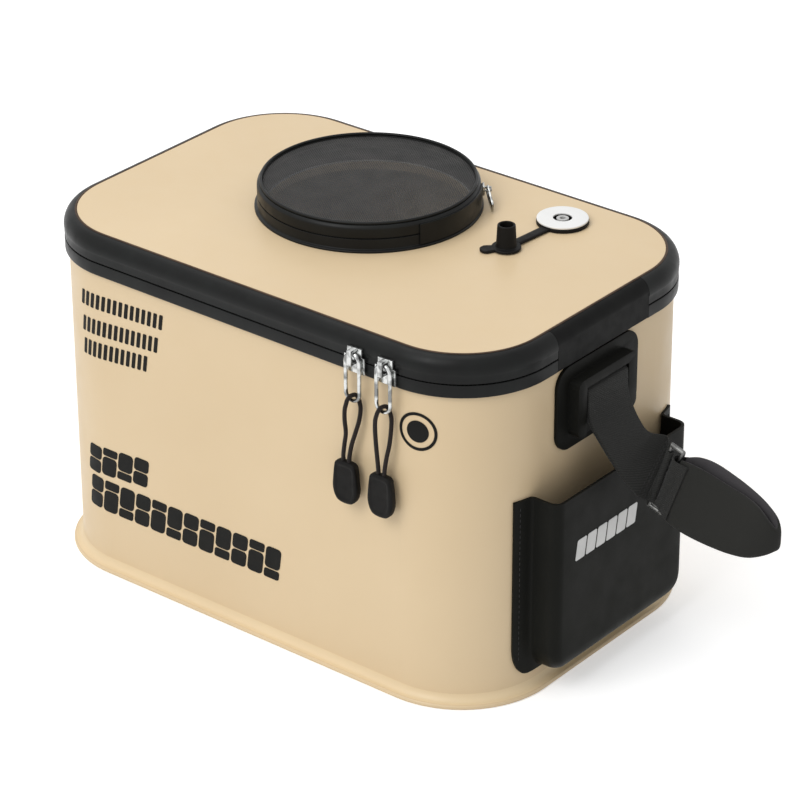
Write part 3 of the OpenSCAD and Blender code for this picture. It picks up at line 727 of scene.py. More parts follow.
@dataclass(frozen=True)
class Weave:
    """Woven cloth whose threads follow the piece's UV map, in millimetres."""

    name: str
    light: Point
    dark: Point
    across: float = 1.1
    along: float = 1.6
    depth: float = 0.25
    gloss: float = 0.72
    gloss_span: Span = (0.08, 0.1)
    sheen: float = 0.05
    shine: float = 0.1
    lean: float = 0.5
    fuzz: Span = (1500.0, 2.0)
    fuzz_share: float = 0.8
    tone_span: Span = (-0.4, 1.3)
    relief: float = 0.7
    rumple: Grain = (60.0, 2.0, 0.6, 0.25)

    def make(self) -> bpy.types.Material:
        """Builds the material."""
        g = Graph(self.name)
        axes = g.add("ShaderNodeSeparateXYZ")
        g.links.new(g.place(uv=True), axes.inputs[0])
        warp = g.math("MULTIPLY", axes.outputs[0], 2 * math.pi / self.across)
        weft = g.math("MULTIPLY", axes.outputs[1], 2 * math.pi / self.along)
        lean = g.math("ADD", weft, g.math("MULTIPLY", warp, self.lean))
        threads = g.math("MULTIPLY", g.math("SINE", warp), g.math("SINE", lean))
        fuzz = g.noise(g.place(), *self.fuzz)
        height = g.math("ADD", threads, g.math("MULTIPLY", fuzz, self.fuzz_share))
        g.colour(g.mix(g.spread(height, 0.0, 1.0, *self.tone_span), self.dark, self.light))
        below, above = self.gloss_span
        g.rough(g.spread(fuzz, self.gloss - below, self.gloss + above))
        g.bump(height, self.depth, self.relief)
        scale, detail, depth, strength = self.rumple
        g.bump(g.noise(g.place(), scale, detail), depth, strength)
        g.set(Sheen_Weight=self.sheen, Sheen_Roughness=0.5, Specular_IOR_Level=self.shine)
        return g.material


class Finishes:
    """Every finish on the bucket, made once."""

    def __init__(self) -> None:
        """Builds the materials and the trees that place repeated pieces."""
        self.foam = FoamSkin("beige_foam", (0.735, 0.575, 0.365), (0.70, 0.54, 0.335)).make()
        # lighter copy of the walls' beige: a painted highlight on the weld round the base
        self.weld = FoamSkin("beige_weld_painted_highlight", (0.80, 0.64, 0.41), (0.76, 0.60, 0.38)).make()
        self.moulded = FoamSkin("black_moulded_foam", (0.0085, 0.0088, 0.0072),
                                (0.0055, 0.0055, 0.0046), 0.48, 0.07,
                                grains=((900.0, 2.0, 0.09, 0.5), (22.0, 1.0, 0.35, 0.3))).make()
        self.trim = CoatedTrim("black_trim_tape").make()
        self.strip = CoatedTrim("black_hinge_strip", (0.0080, 0.0082, 0.0078),
                                (0.0052, 0.0052, 0.0052), 0.46, 0.07).make()
        self.seam = CoatedTrim("brown_seam_edge", (0.10, 0.062, 0.040), (0.05, 0.030, 0.020),
                               0.5).make()
        self.teeth = HardPlastic("zip_teeth", (0.008, 0.008, 0.008), (0.005, 0.005, 0.005),
                                 0.4, 0.1).make()
        self.metal = PlatedMetal("bright_plating").make()
        self.ring = PlatedMetal("dull_ring", (0.16, 0.16, 0.155), (0.096, 0.096, 0.093),
                                0.38).make()
        self.rubber = Rubber("black_rubber").make()
        self.disc = HardPlastic("white_disc", (0.86, 0.86, 0.85), (0.835, 0.835, 0.825),
                                0.42).make()
        self.valve = HardPlastic("grey_valve", (0.52, 0.52, 0.51), (0.44, 0.44, 0.43), 0.35).make()
        self.mesh = HardPlastic("dark_mesh_thread", (0.088, 0.086, 0.084), (0.060, 0.060, 0.060),
                                0.6, 0.15).make()
        self.edge = HardPlastic("pale_opening_edge", (0.62, 0.60, 0.56), (0.55, 0.53, 0.49),
                                0.5).make()
        self.webbing = Weave("dark_webbing", (0.036, 0.036, 0.034), (0.018, 0.018, 0.017)).make()
        self.pad = Weave("padded_cloth", (0.029, 0.029, 0.0265), (0.018, 0.018, 0.0165),
                         0.9, 0.9, 0.12).make()
        # the padded cloth again, a little lighter: painted light for the half of the grip that
        # catches the light
        self.pad_painted_light = Weave("padded_cloth_painted_light", (0.064, 0.060, 0.064), (0.042, 0.040, 0.042),
                            0.9, 0.9, 0.12).make()
        self.cord = Weave("braided_cord", (0.034, 0.026, 0.024), (0.012, 0.010, 0.009),
                          1.2, 1.5, 0.3).make()
        self.thread = Weave("black_thread", (0.05, 0.05, 0.05), (0.02, 0.02, 0.02),
                            0.3, 0.3, 0.05).make()
        self.dark_ink = HardPlastic("dark_print", (0.009, 0.009, 0.008), (0.006, 0.006, 0.0055),
                                    0.5, 0.1).make()
        self.light_ink = HardPlastic("light_print", (0.74, 0.74, 0.73), (0.66, 0.66, 0.65),
                                     0.45).make()
        self.beads = bead_tree()
        self.threads = thread_tree()

    def row(self, name: str, lines: Iterable[Sequence[Vector]], bead: Bead,
            finish: bpy.types.Material) -> bpy.types.Object:
        """Sets beads along lines.

        Args:
            name: the new piece's name.
            lines: the lines, in millimetres.
            bead: the bead's sizes.
            finish: the material of the new piece.

        Returns:
            The new object.
        """
        return self.beads.apply(lines_object(f"{name}_guide", lines), name, finish,
                                Pitch=bead.pitch * MM, Length=bead.length * MM,
                                Width=bead.width * MM, Height=bead.height * MM)


def dress(node: str, finish: bpy.types.Material) -> None:
    """Gives a CAD node its finish, in every material slot."""
    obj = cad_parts[node]
    if not obj.data.materials:
        obj.data.materials.append(finish)
    for i in range(len(obj.data.materials)):
        obj.data.materials[i] = finish


def place(obj: bpy.types.Object, body: str, finish: bpy.types.Material | None, slot: str,
          *nodes: str) -> bpy.types.Object:
    """Dresses a new piece and lets it ride on its body.

    Args:
        obj: the piece.
        body: the CAD body that carries it.
        finish: its material, or None where it has one.
        slot: the record's material slot; not used.
        *nodes: the CAD nodes that it stands for.

    Returns:
        The piece.
    """
    if finish is not None:
        obj.data.materials.clear()
        obj.data.materials.append(finish)
    if nodes:
        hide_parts(*nodes)
    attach(obj, body)
    LOG.info("%s rides on %s", obj.name, body)
    return obj


# ---------------------------------------------------------------- the bucket's outline


@dataclass(frozen=True)
class Outline:
    """Plan of the tub: four corner centres and a distance from them, in millimetres."""

    half_length: float = 200.0
    half_width: float = 130.5
    corner: float = 66.0
    corner_steps: int = 24
    side_steps: int = 8

    @property
    def mid_x(self) -> float:
        """Distance of the corner centres from the middle, along the length."""
        return self.half_length - self.corner

    @property
    def mid_y(self) -> float:
        """Distance of the corner centres from the middle, across the width."""
        return self.half_width - self.corner

    def frames(self, gap: float) -> list[tuple[Vector, Vector]]:
        """Walks round the outline from the hinge end, counter-clockwise.

        Args:
            gap: half the stretch at the hinge end that is left out; 0 closes the walk.

        Returns:
            For each place its base point and its outward direction.
        """
        mx, my = self.mid_x, self.mid_y
        walk: list[tuple[Vector, Vector]] = []
        for first, a, b, out, steps in (
            (None, (mx, gap), (mx, my), (1, 0), 2),
            (0, (mx, my), (-mx, my), (0, 1), self.side_steps),
            (90, (-mx, my), (-mx, -my), (-1, 0), self.side_steps // 2),
            (180, (-mx, -my), (mx, -my), (0, -1), self.side_steps),
            (270, (mx, -my), (mx, -gap), (1, 0), 2),
        ):
            if first is not None:
                walk += [(Vector(a), Vector((math.cos(t), math.sin(t))))
                         for t in arc(first, first + 90, self.corner_steps)[:-1]]
            walk += [(Vector(a).lerp(Vector(b), k / steps), Vector(out)) for k in range(steps)]
        if gap > 0:
            walk.append((Vector((mx, -gap)), Vector((1, 0))))
        return walk

    def sweep(self, name: str, profile: Profile, gap: float = 0.0) -> bpy.types.Object:
        """Sweeps a profile, distance from the corner centres against height, round the tub."""
        rings = [[Vector((*(base + out * r), z)) for r, z in profile]
                 for base, out in self.frames(gap)]
        return skin(name, rings, loop=gap == 0.0)

    def line(self, r: float, z: float, gap: float) -> list[Vector]:
        """Line round the tub at a distance from the corner centres."""
        return [Vector((*(base + out * r), z)) for base, out in self.frames(gap)]

    def front(self, s: float, z: float, lift: float = 0.0) -> Vector:
        """Place on the front wall.

        Args:
            s: way along the wall from the middle of the front.
            z: height.
            lift: distance out from the wall.

        Returns:
            The point.
        """
        sign = math.copysign(1.0, s)
        past = abs(s) - self.mid_x
        r = self.corner + lift
        if past <= 0:
            return Vector((s, -self.mid_y - r, z))
        a = past / self.corner
        return Vector((sign * (self.mid_x + r * math.sin(a)), -self.mid_y - r * math.cos(a), z))


# ---------------------------------------------------------------- the tub


@dataclass(frozen=True)
class PrintRow:
    """Row of leaning blocks on the front wall, from start to end along it.

    The first block stands at foot, the row climbs by rise for each millimetre, pitch is the way
    from a block to the next, gap is what is left bare, and each block is cut across at the next
    of the cuts, a share of its height.
    """

    name: str
    start: float
    end: float
    foot: float
    height: float
    rise: float
    pitch: float = 5.4
    gap: float = 2.2
    cuts: tuple[float, ...] = ()


LARGE_BLOCKS = (15.2, 1.5, (0.5, 0.7, 0.3))
PRINT_ROWS = (
    PrintRow("print_small_row_1", -155.5, -76.0, 207.6, 11.6, 0.05),
    PrintRow("print_small_row_2", -155.5, -77.5, 186.8, 12.0, 0.075),
    PrintRow("print_small_row_3", -155.5, -88.5, 168.6, 12.4, 0.09),
    PrintRow("print_large_row_1", -156.0, -88.0, 75.4, 22.2, 0.1, *LARGE_BLOCKS),
    PrintRow("print_large_row_2", -156.0, 27.0, 47.0, 25.4, 0.01, *LARGE_BLOCKS),
)


@dataclass
class Print:
    """Generic print on the front wall: rows of leaning blocks and a plain ring."""

    outline: Outline
    film: tuple[float, float] = (0.06, 0.3)
    lean: float = 0.14
    slit: float = 0.9
    corner: float = 0.24
    badge: tuple[float, float] = (147.5, 207.5)
    ring: tuple[float, float] = (11.9, 14.0)
    disc: tuple[float, float] = (0.02, 8.0)

    def block(self, bm: bmesh.types.BMesh, s: float, wide: float, foot: float, base: float,
              top: float) -> None:
        """Adds a leaning block with round corners to a mesh.

        Args:
            bm: the mesh.
            s: where the block begins along the front, at its row's foot.
            wide: the block's width.
            foot: the height from which it leans.
            base: height of its lower edge.
            top: height of its upper edge.
        """
        low, high = self.film
        r = min(wide, top - base) * self.corner
        rings = []
        for a in arc(0, 180, 12):
            x = wide * (1 - math.cos(a)) / 2
            near = min(x, wide - x, r)
            trim = r - math.sqrt(r * r - (r - near) ** 2)
            ring = ((base + trim, low), (top - trim, low), (top - trim, high), (base + trim, high))
            rings.append([bm.verts.new(self.outline.front(s + x + self.lean * (z - foot), z, lift))
                          for z, lift in ring])
        for a, b in zip(rings, rings[1:]):
            for k in range(4):
                j = (k + 1) % 4
                bm.faces.new((a[k], a[j], b[j], b[k]))
        bm.faces.new(rings[0])
        bm.faces.new(reversed(rings[-1]))

    def row(self, row: PrintRow) -> bpy.types.Object:
        """Makes a row of blocks.

        Args:
            row: the row's sizes.

        Returns:
            The new object.
        """
        bm = bmesh.new()
        for i in range(int((row.end - row.start + row.gap) / row.pitch)):
            s, z = row.start + i * row.pitch, row.foot + row.rise * i * row.pitch
            spans = [(z, z + row.height)]
            if row.cuts:
                cut = z + row.height * row.cuts[i % len(row.cuts)]
                spans = [(z, cut - self.slit / 2), (cut + self.slit / 2, z + row.height)]
            for base, top in spans:
                self.block(bm, s, row.pitch - row.gap, z, base, top)
        return finish_mesh(row.name, bm)

    def annulus(self, name: str, inner: float, outer: float) -> bpy.types.Object:
        """Makes a flat ring round the badge's middle.

        Args:
            name: the ring's name.
            inner: its inner radius.
            outer: its outer radius.

        Returns:
            The new object.
        """
        low, high = self.film
        radii = [inner + (outer - inner) * k / 4 for k in range(5)]
        section = [(r, low) for r in radii] + [(r, high) for r in reversed(radii)]
        s, z = self.badge
        rings = [[self.outline.front(s + r * math.cos(a), z + r * math.sin(a), lift)
                  for r, lift in section] for a in circle(64)]
        return skin(name, rings, loop=True)

    def build(self, ink: bpy.types.Material) -> None:
        """Makes the print on the front wall."""
        for row in PRINT_ROWS:
            place(self.row(row), "tub", ink, "trim")
        place(self.annulus("print_badge_ring", *self.ring), "tub", ink, "trim")
        place(self.annulus("print_badge_disc", *self.disc), "tub", ink, "trim")


@dataclass
class Tub:
    """The welded tub: walls, base, the trim below the zip and the print."""

    finishes: Finishes
    outline: Outline = field(default_factory=Outline)
    base_top: float = 3.5
    weld: float = 5.5
    trim_foot: float = 237.0
    trim_top: float = 243.7
    zip_top: float = 246.5
    trim_out: float = 3.0
    groove_in: float = 0.4
    tooth: float = 2.2
    lip: float = 0.8
    slit: float = 0.25
    hinge_gap: float = 51.1

    def build(self) -> None:
        """Dresses the walls and makes the trim, the teeth, the weld and the print."""
        made = self.finishes
        corner = self.outline.corner
        for node in ("bucket_wall", "base_panel"):
            dress(node, made.foam)
        curve = [(corner + self.weld * (1 - math.sin(a)),
                  self.base_top + self.weld * (1 - math.cos(a))) for a in arc(0, 90, 6)]
        weld = self.outline.sweep("base_weld", curve + [(corner - 0.2, self.base_top - 0.2)])
        # the weld's lighter beige is a painted highlight
        place(weld, "tub", made.weld, "foam_sheet")
        outer = corner + self.trim_out
        groove = outer - self.tooth - self.groove_in
        inner, slit_top = corner + 0.1, self.zip_top - self.slit
        profile = rounded_profile([
            (inner, self.trim_foot), (outer, self.trim_foot), (outer, slit_top),
            (outer - self.lip, slit_top), (outer - self.lip, self.trim_top),
            (groove, self.trim_top), (groove, self.zip_top), (inner, self.zip_top),
        ], 0.9)
        place(self.outline.sweep("lower_trim_tape", profile, self.hinge_gap), "tub", made.trim,
              "trim", "lower_trim")
        line = self.outline.line(groove + 0.9, self.zip_top - self.tooth / 2, self.hinge_gap)
        place(made.row("lower_zip_teeth", [line], EDGE_TOOTH, made.teeth), "tub", None,
              "zip_teeth", "lower_zip_coil")
        Print(self.outline).build(made.dark_ink)


# ---------------------------------------------------------------- the pocket


@dataclass
class Pocket:
    """Moulded side pocket with a flange that is welded to the wall."""

    finishes: Finishes
    outline: Outline = field(default_factory=Outline)
    half_width: float = 75.0
    depth: float = 23.0
    top: float = 153.0
    foot: float = 17.0
    foot_round: float = 15.0
    side_round: float = 22.0
    front_round: float = 7.0
    sheet: float = 2.0
    flange_out: float = 89.0
    flange_round: float = 12.0
    stitch_in: float = 4.5
    stitch_lift: float = 2.2
    print_count: int = 6
    print_start: float = -55.0
    print_pitch: float = 11.6
    print_wide: float = 10.2
    print_lean: float = 2.6
    print_foot: float = 102.5
    print_top: float = 117.5

    def wall_at(self, y: float, lift: float) -> tuple[float, float]:
        """Place on the hinge end's wall.

        Args:
            y: way along the wall from its middle.
            lift: distance out from the wall.

        Returns:
            The place in plan.
        """
        past = abs(y) - self.outline.mid_y
        r = self.outline.corner + lift
        if past <= 0:
            return self.outline.mid_x + r, y
        a = past / self.outline.corner
        return (self.outline.mid_x + r * math.cos(a),
                math.copysign(self.outline.mid_y + r * math.sin(a), y))

    def row(self, z: float, depth: float, half: float, flange: float) -> list[Vector]:
        """One height of the sheet, from one flange round the box to the other.

        Args:
            z: the height.
            depth: how far the box stands out from the wall.
            half: half the box's width.
            flange: half the width with the flanges.

        Returns:
            The points of the row.
        """
        right: list[tuple[float, float]] = []
        fillet = min(3.0, depth * 0.3)
        for k in range(5):
            right.append(self.wall_at(flange + (half + fillet - flange) * k / 4, 1.0))
        base = self.wall_at(half, 1.0)[0]
        face = self.outline.half_length + depth - 1.0
        r = min(self.front_round, max(0.4, (face - base) * 0.6))
        y = half - 1.0
        for k in range(1, 4):
            a = math.pi / 2 * k / 4
            right.append((base + fillet * (1 - math.cos(a)), y + fillet * (1 - math.sin(a))))
        for k in range(4):
            right.append((base + fillet + (face - r - base - fillet) * k / 3, y))
        for k in range(1, 7):
            a = math.pi / 2 * k / 6
            right.append((face - r + r * math.sin(a), y - r + r * math.cos(a)))
        for k in range(1, 7):
            right.append((face, (y - r) * (1 - k / 6)))
        left = [(x, -v) for x, v in reversed(right[:-1])]
        return [Vector((x, v, z)) for x, v in right + left]

    def build(self) -> None:
        """Makes the pocket, its stitches and its print."""
        made = self.finishes
        rows = []
        for k in range(13):
            z = self.top + (self.foot + self.side_round - self.top) * k / 12
            rows.append((z, self.depth, self.half_width, self.flange_out))
        for k in range(1, 15):
            a = math.pi / 2 * k / 14
            z = self.foot + self.side_round * (1 - math.sin(a))
            half = self.half_width - self.side_round * (1 - math.cos(a)) * 0.9
            drop = max(0.0, self.foot + self.foot_round - z) / self.foot_round
            depth = self.depth - self.foot_round * (1 - math.sqrt(max(0.0, 1 - drop * drop)))
            flange = self.flange_out - self.flange_round * (1 - math.cos(a))
            rows.append((z, depth, half, flange))
        half, flange = rows[-1][2:]
        least, below = 1.6, self.foot - 0.3
        for share in (0.66, 0.33, 0.08):
            depth = max(least, (self.depth - self.foot_round) * share)
            rows.append((below + 0.1 * share, depth, half, flange))
        sheet = skin("side_pocket_shell", [self.row(*r) for r in rows], open_ring=True)
        wall = sheet.modifiers.new("wall", "SOLIDIFY")
        wall.thickness = self.sheet * MM
        wall.offset = 0.0
        place(sheet, "tub", made.moulded, "moulded_foam", "side_pocket")
        lines = []
        for sign in (-1, 1):
            x, y = self.wall_at(sign * (self.flange_out - self.stitch_in), self.stitch_lift)
            lines.append([Vector((x, y, self.foot + 14 + (self.top - self.foot - 20) * k / 17))
                          for k in range(18)])
        stitches = made.row("pocket_stitches", lines, POCKET_STITCH, made.thread)
        place(stitches, "tub", None, "webbing")
        for i in range(self.print_count):
            place(self.print_block(i), "tub", made.light_ink, "disc")

    def print_block(self, i: int) -> bpy.types.Object:
        """Makes one leaning block of the print on the pocket's face."""
        face = self.outline.half_length + self.depth
        y, low, high = self.print_start + i * self.print_pitch, self.print_foot, self.print_top
        wide, lean = self.print_wide, self.print_lean
        ring = [(y, low), (y + wide, low), (y + wide + lean, high), (y + lean, high)]
        rings = [[Vector((face + lift, a, b)) for a, b in rounded_profile(ring, 1.6)]
                 for lift in (0.02, 0.3)]
        return skin(f"pocket_print_block_{i + 1}", rings)


# ---------------------------------------------------------------- the lid


@dataclass
class Lid:
    """The lid: panel, bulging trim, teeth, seam and the hinge strip."""

    finishes: Finishes
    outline: Outline = field(default_factory=Outline)
    foot: float = 246.9
    groove_top: float = 249.7
    top: float = 265.1
    outer: float = 69.0
    groove: float = 66.4
    edge: float = 59.4
    inner: float = 61.5
    under: float = 260.7
    tooth: float = 2.2
    hinge_gap: float = 51.1
    strip_x: float = 203.0
    strip_in: float = 200.1
    strip_foot: float = 237.0

    def bulge(self, first: float) -> Profile:
        """Outer curve of the trim, from an angle in degrees up to its top."""
        low, high = 5.0, self.top - self.groove_top - 5.0
        middle, reach, below = self.outer - 8, 8.2, low / 0.643
        return [(middle + reach * math.cos(a),
                 self.groove_top + low + (below if a < 0 else high) * math.sin(a))
                for a in arc(first, 90, 26)]

    def build(self) -> None:
        """Dresses the panel and makes the pieces of the lid's edge."""
        made = self.finishes
        dress("lid_panel", made.foam)
        tuck = [(self.edge + 0.5, self.top + 0.1), (self.edge, self.top - 0.7),
                (self.edge, self.under), (self.inner, self.under), (self.inner, self.foot)]
        lip = [(self.outer - 1.1, self.groove_top - 0.2), (self.outer - 1.1, self.foot + 0.4),
               (self.outer - 0.6, self.foot + 0.1), (self.outer - 0.15, self.foot + 0.5),
               (self.outer - 0.05, self.groove_top)]
        groove = [(self.groove, self.foot), (self.groove, self.groove_top)]
        profile = groove + lip + self.bulge(-15) + tuck
        place(self.outline.sweep("lid_trim_tape", profile, self.hinge_gap), "lid", made.trim,
              "trim", "lid_trim")
        seam = [(self.edge + 0.9 + 0.75 * math.cos(a), self.top + 0.15 + 0.45 * math.sin(a))
                for a in circle(8)]
        place(self.outline.sweep("lid_seam_edge", seam), "lid", made.seam, "trim")
        line = self.outline.line(self.groove + 0.9, self.foot + self.tooth / 2, self.hinge_gap)
        place(made.row("lid_zip_teeth", [line], EDGE_TOOTH, made.teeth), "lid", None,
              "zip_teeth", "lid_zip_coil")
        self.hinge_strip()

    def hinge_strip(self) -> None:
        """Makes the plain strip between tub and lid."""
        mid = self.outline.mid_x
        bulge = [(min(mid + r, self.strip_x), z) for r, z in self.bulge(0)]
        straight = [(self.strip_x, self.strip_foot + 0.8 + 1.4 * k) for k in range(12)]
        inside = [(mid + self.edge + 0.2, self.top - 0.5), (mid + self.edge + 0.1, self.under),
                  (mid + self.inner, self.under)]
        inside += [(mid + self.inner, self.under - 2.2 * k) for k in range(1, 6)]
        inside += [(self.strip_in, z)
                   for z in (247.6, 246.2, 244.6, 242.0, 239.0, self.strip_foot)]
        profile = [(self.strip_x - 0.8, self.strip_foot)] + straight + bulge[1:] + inside
        half = self.hinge_gap - 0.3
        rings = [[Vector((x, -half + 2 * half * k / 24, z)) for x, z in profile] for k in range(25)]
        strip = skin("lid_hinge_strip", rings)
        strip.data.materials.append(self.finishes.strip)
        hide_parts("hinge_strip_lower", "hinge_strip_upper")
        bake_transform(strip)
        LOG.info("%s bends between tub and lid", strip.name)


# ---------------------------------------------------------------- the hatch


@dataclass
class Hatch:
    """The round zipped hatch on the lid, with its net."""

    finishes: Finishes
    centre: tuple[float, float] = (-21.5, 27.5)
    radius: float = 78.5
    wall: float = 4.0
    lid_z: float = 265.5
    split: float = 275.6
    gap: float = 0.2
    height: float = 9.8
    turn: float = 6.0
    span: float = 61.0
    strip: float = 1.2
    net_pitch: float = 1.25
    net_thread: float = 0.46
    net_thick: float = 0.12
    net_crown: float = 1.1
    net_headings: tuple[float, float] = (28.0, 118.0)
    net_shortest: float = 3.0
    slit: float = 0.25
    tooth_gap: float = 0.4
    ledge_drop: float = 1.8
    steps: int = 128

    @property
    def top(self) -> float:
        """Height of the rim's top."""
        return self.split + self.gap + self.height

    def ring(self, name: str, profile: Profile, body: str, finish: bpy.types.Material,
             *nodes: str) -> None:
        """Makes a ring round the hatch from its profile.

        Args:
            name: the ring's name.
            profile: closed outline, (radius, height) in millimetres.
            body: the CAD body that carries it.
            finish: its material.
            *nodes: the CAD nodes that it stands for.
        """
        place(lathe(name, profile, self.centre, steps=self.steps), body, finish, "trim", *nodes)

    def build(self) -> None:
        """Makes the collar, the rim, the teeth, the net and the hinge strip."""
        made = self.finishes
        r, inner, lid_z = self.radius, self.radius - self.wall, self.lid_z
        low_top, foot = self.split - self.gap, self.split + self.gap
        ledge, lip = self.top - self.ledge_drop, self.top - 0.5
        groove, tongue = r - 1.6, 2.4
        self.ring("hatch_collar_wall", rounded_profile([
            (inner, lid_z), (r + 2, lid_z), (r + 2, lid_z + 1.5), (r, lid_z + 2.2),
            (r, low_top - self.slit), (r - 0.5, low_top - self.slit), (r - 0.6, low_top - tongue),
            (groove, low_top - tongue), (groove, low_top), (inner, low_top),
        ], 0.5), "lid", made.trim, "hatch_collar")
        self.ring("hatch_rim_wall", rounded_profile([
            (inner - 2.5, ledge - 1.6), (inner, ledge - 4), (inner, foot), (groove, foot),
            (groove, foot + tongue), (r - 0.6, foot + tongue), (r - 0.5, foot + self.slit),
            (r, foot + self.slit), (r, self.top - 2.4), (r - 1.4, lip),
            (inner + 0.1, lip), (inner + 0.1, ledge), (inner - 2.5, ledge),
        ], 0.8), "hatch", made.trim, "hatch_rim")
        dress("hatch_piping", made.trim)
        first = self.turn + self.span / 2 + self.tooth_gap
        last = first + 360 - self.span - 2 * self.tooth_gap
        for name, z, body, node in (
            ("hatch_lower_teeth", low_top - 0.9, "lid", "hatch_coil_lower"),
            ("hatch_upper_teeth", foot + 0.9, "hatch", "hatch_coil_upper"),
        ):
            line = [Vector((self.centre[0] + (r - 1.1) * math.cos(a),
                            self.centre[1] + (r - 1.1) * math.sin(a), z))
                    for a in arc(first, last, 120)]
            place(made.row(name, [line], HATCH_TOOTH, made.teeth), body, None, "zip_teeth", node)
        self.ring("hatch_opening_edge", [
            (inner - 1.3 + 0.6 * math.cos(a), lid_z + 0.7 + 0.6 * math.sin(a)) for a in circle(8)
        ], "lid", made.edge)
        self.ring("hatch_opening_sleeve", [
            (inner - 1.0, lid_z - 5.2), (inner - 0.3, lid_z - 5.2), (inner - 0.3, lid_z + 0.6),
            (inner - 1.0, lid_z + 0.6),
        ], "lid", made.trim)
        self.net(ledge)
        self.hinge_strip()

    def net(self, ledge: float) -> None:
        """Makes the woven net from flat threads.

        Args:
            ledge: height of the rim's ledge that holds the net.
        """
        made = self.finishes
        reach = self.radius - self.wall - 0.2
        lines = []
        count = int(reach / self.net_pitch)
        for heading in self.net_headings:
            along = Vector((math.cos(math.radians(heading)), math.sin(math.radians(heading))))
            side = Vector((-along.y, along.x))
            for i in range(-count, count + 1):
                off = i * self.net_pitch
                half = math.sqrt(max(0.0, reach * reach - off * off))
                if half < self.net_shortest:
                    continue
                steps = max(2, int(half / 7))
                line = []
                for k in range(steps + 1):
                    q = side * off + along * (half * (2 * k / steps - 1))
                    crown = self.net_crown * (1 - q.length_squared / reach ** 2)
                    line.append(Vector((self.centre[0] + q.x, self.centre[1] + q.y,
                                        ledge + 0.5 + crown)))
                lines.append(line)
        net = made.threads.apply(lines_object("net_lines", lines), "hatch_net", made.mesh,
                                 Width=self.net_thread * MM, Height=self.net_thick * MM)
        place(net, "hatch", None, "mesh", "hatch_mesh")

    def hinge_strip(self) -> None:
        """Makes the plain strip between collar and rim."""
        low, high = self.lid_z + 2.4, self.top - 2.6
        inner, outer = self.radius + 0.1, self.radius + self.strip
        rows = 16
        heights = [low + (high - low) * k / rows for k in range(rows + 1)]
        section = [(outer, z) for z in heights] + [(inner, z) for z in reversed(heights)]
        strip = lathe("hatch_hinge_strip", section, self.centre, self.turn - self.span / 2,
                      self.span, steps=40)
        strip.data.materials.append(self.finishes.trim)
        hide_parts("hatch_hinge_lower", "hatch_hinge_upper")
        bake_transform(strip)
        LOG.info("%s bends between lid and hatch", strip.name)


@dataclass
class HatchPull:
    """Slider and slim pull of the hatch's zip."""

    finishes: Finishes

    def build(self) -> None:
        """Makes both pieces with softened edges."""
        for node, width in (("slider", 0.35), ("pull", 0.3)):
            place(softened(f"hatch_zip_{node}", [f"hatch_{node}"], width, 2), f"hatch_{node}",
                  self.finishes.metal, "bright_metal")


# ---------------------------------------------------------------- the air port


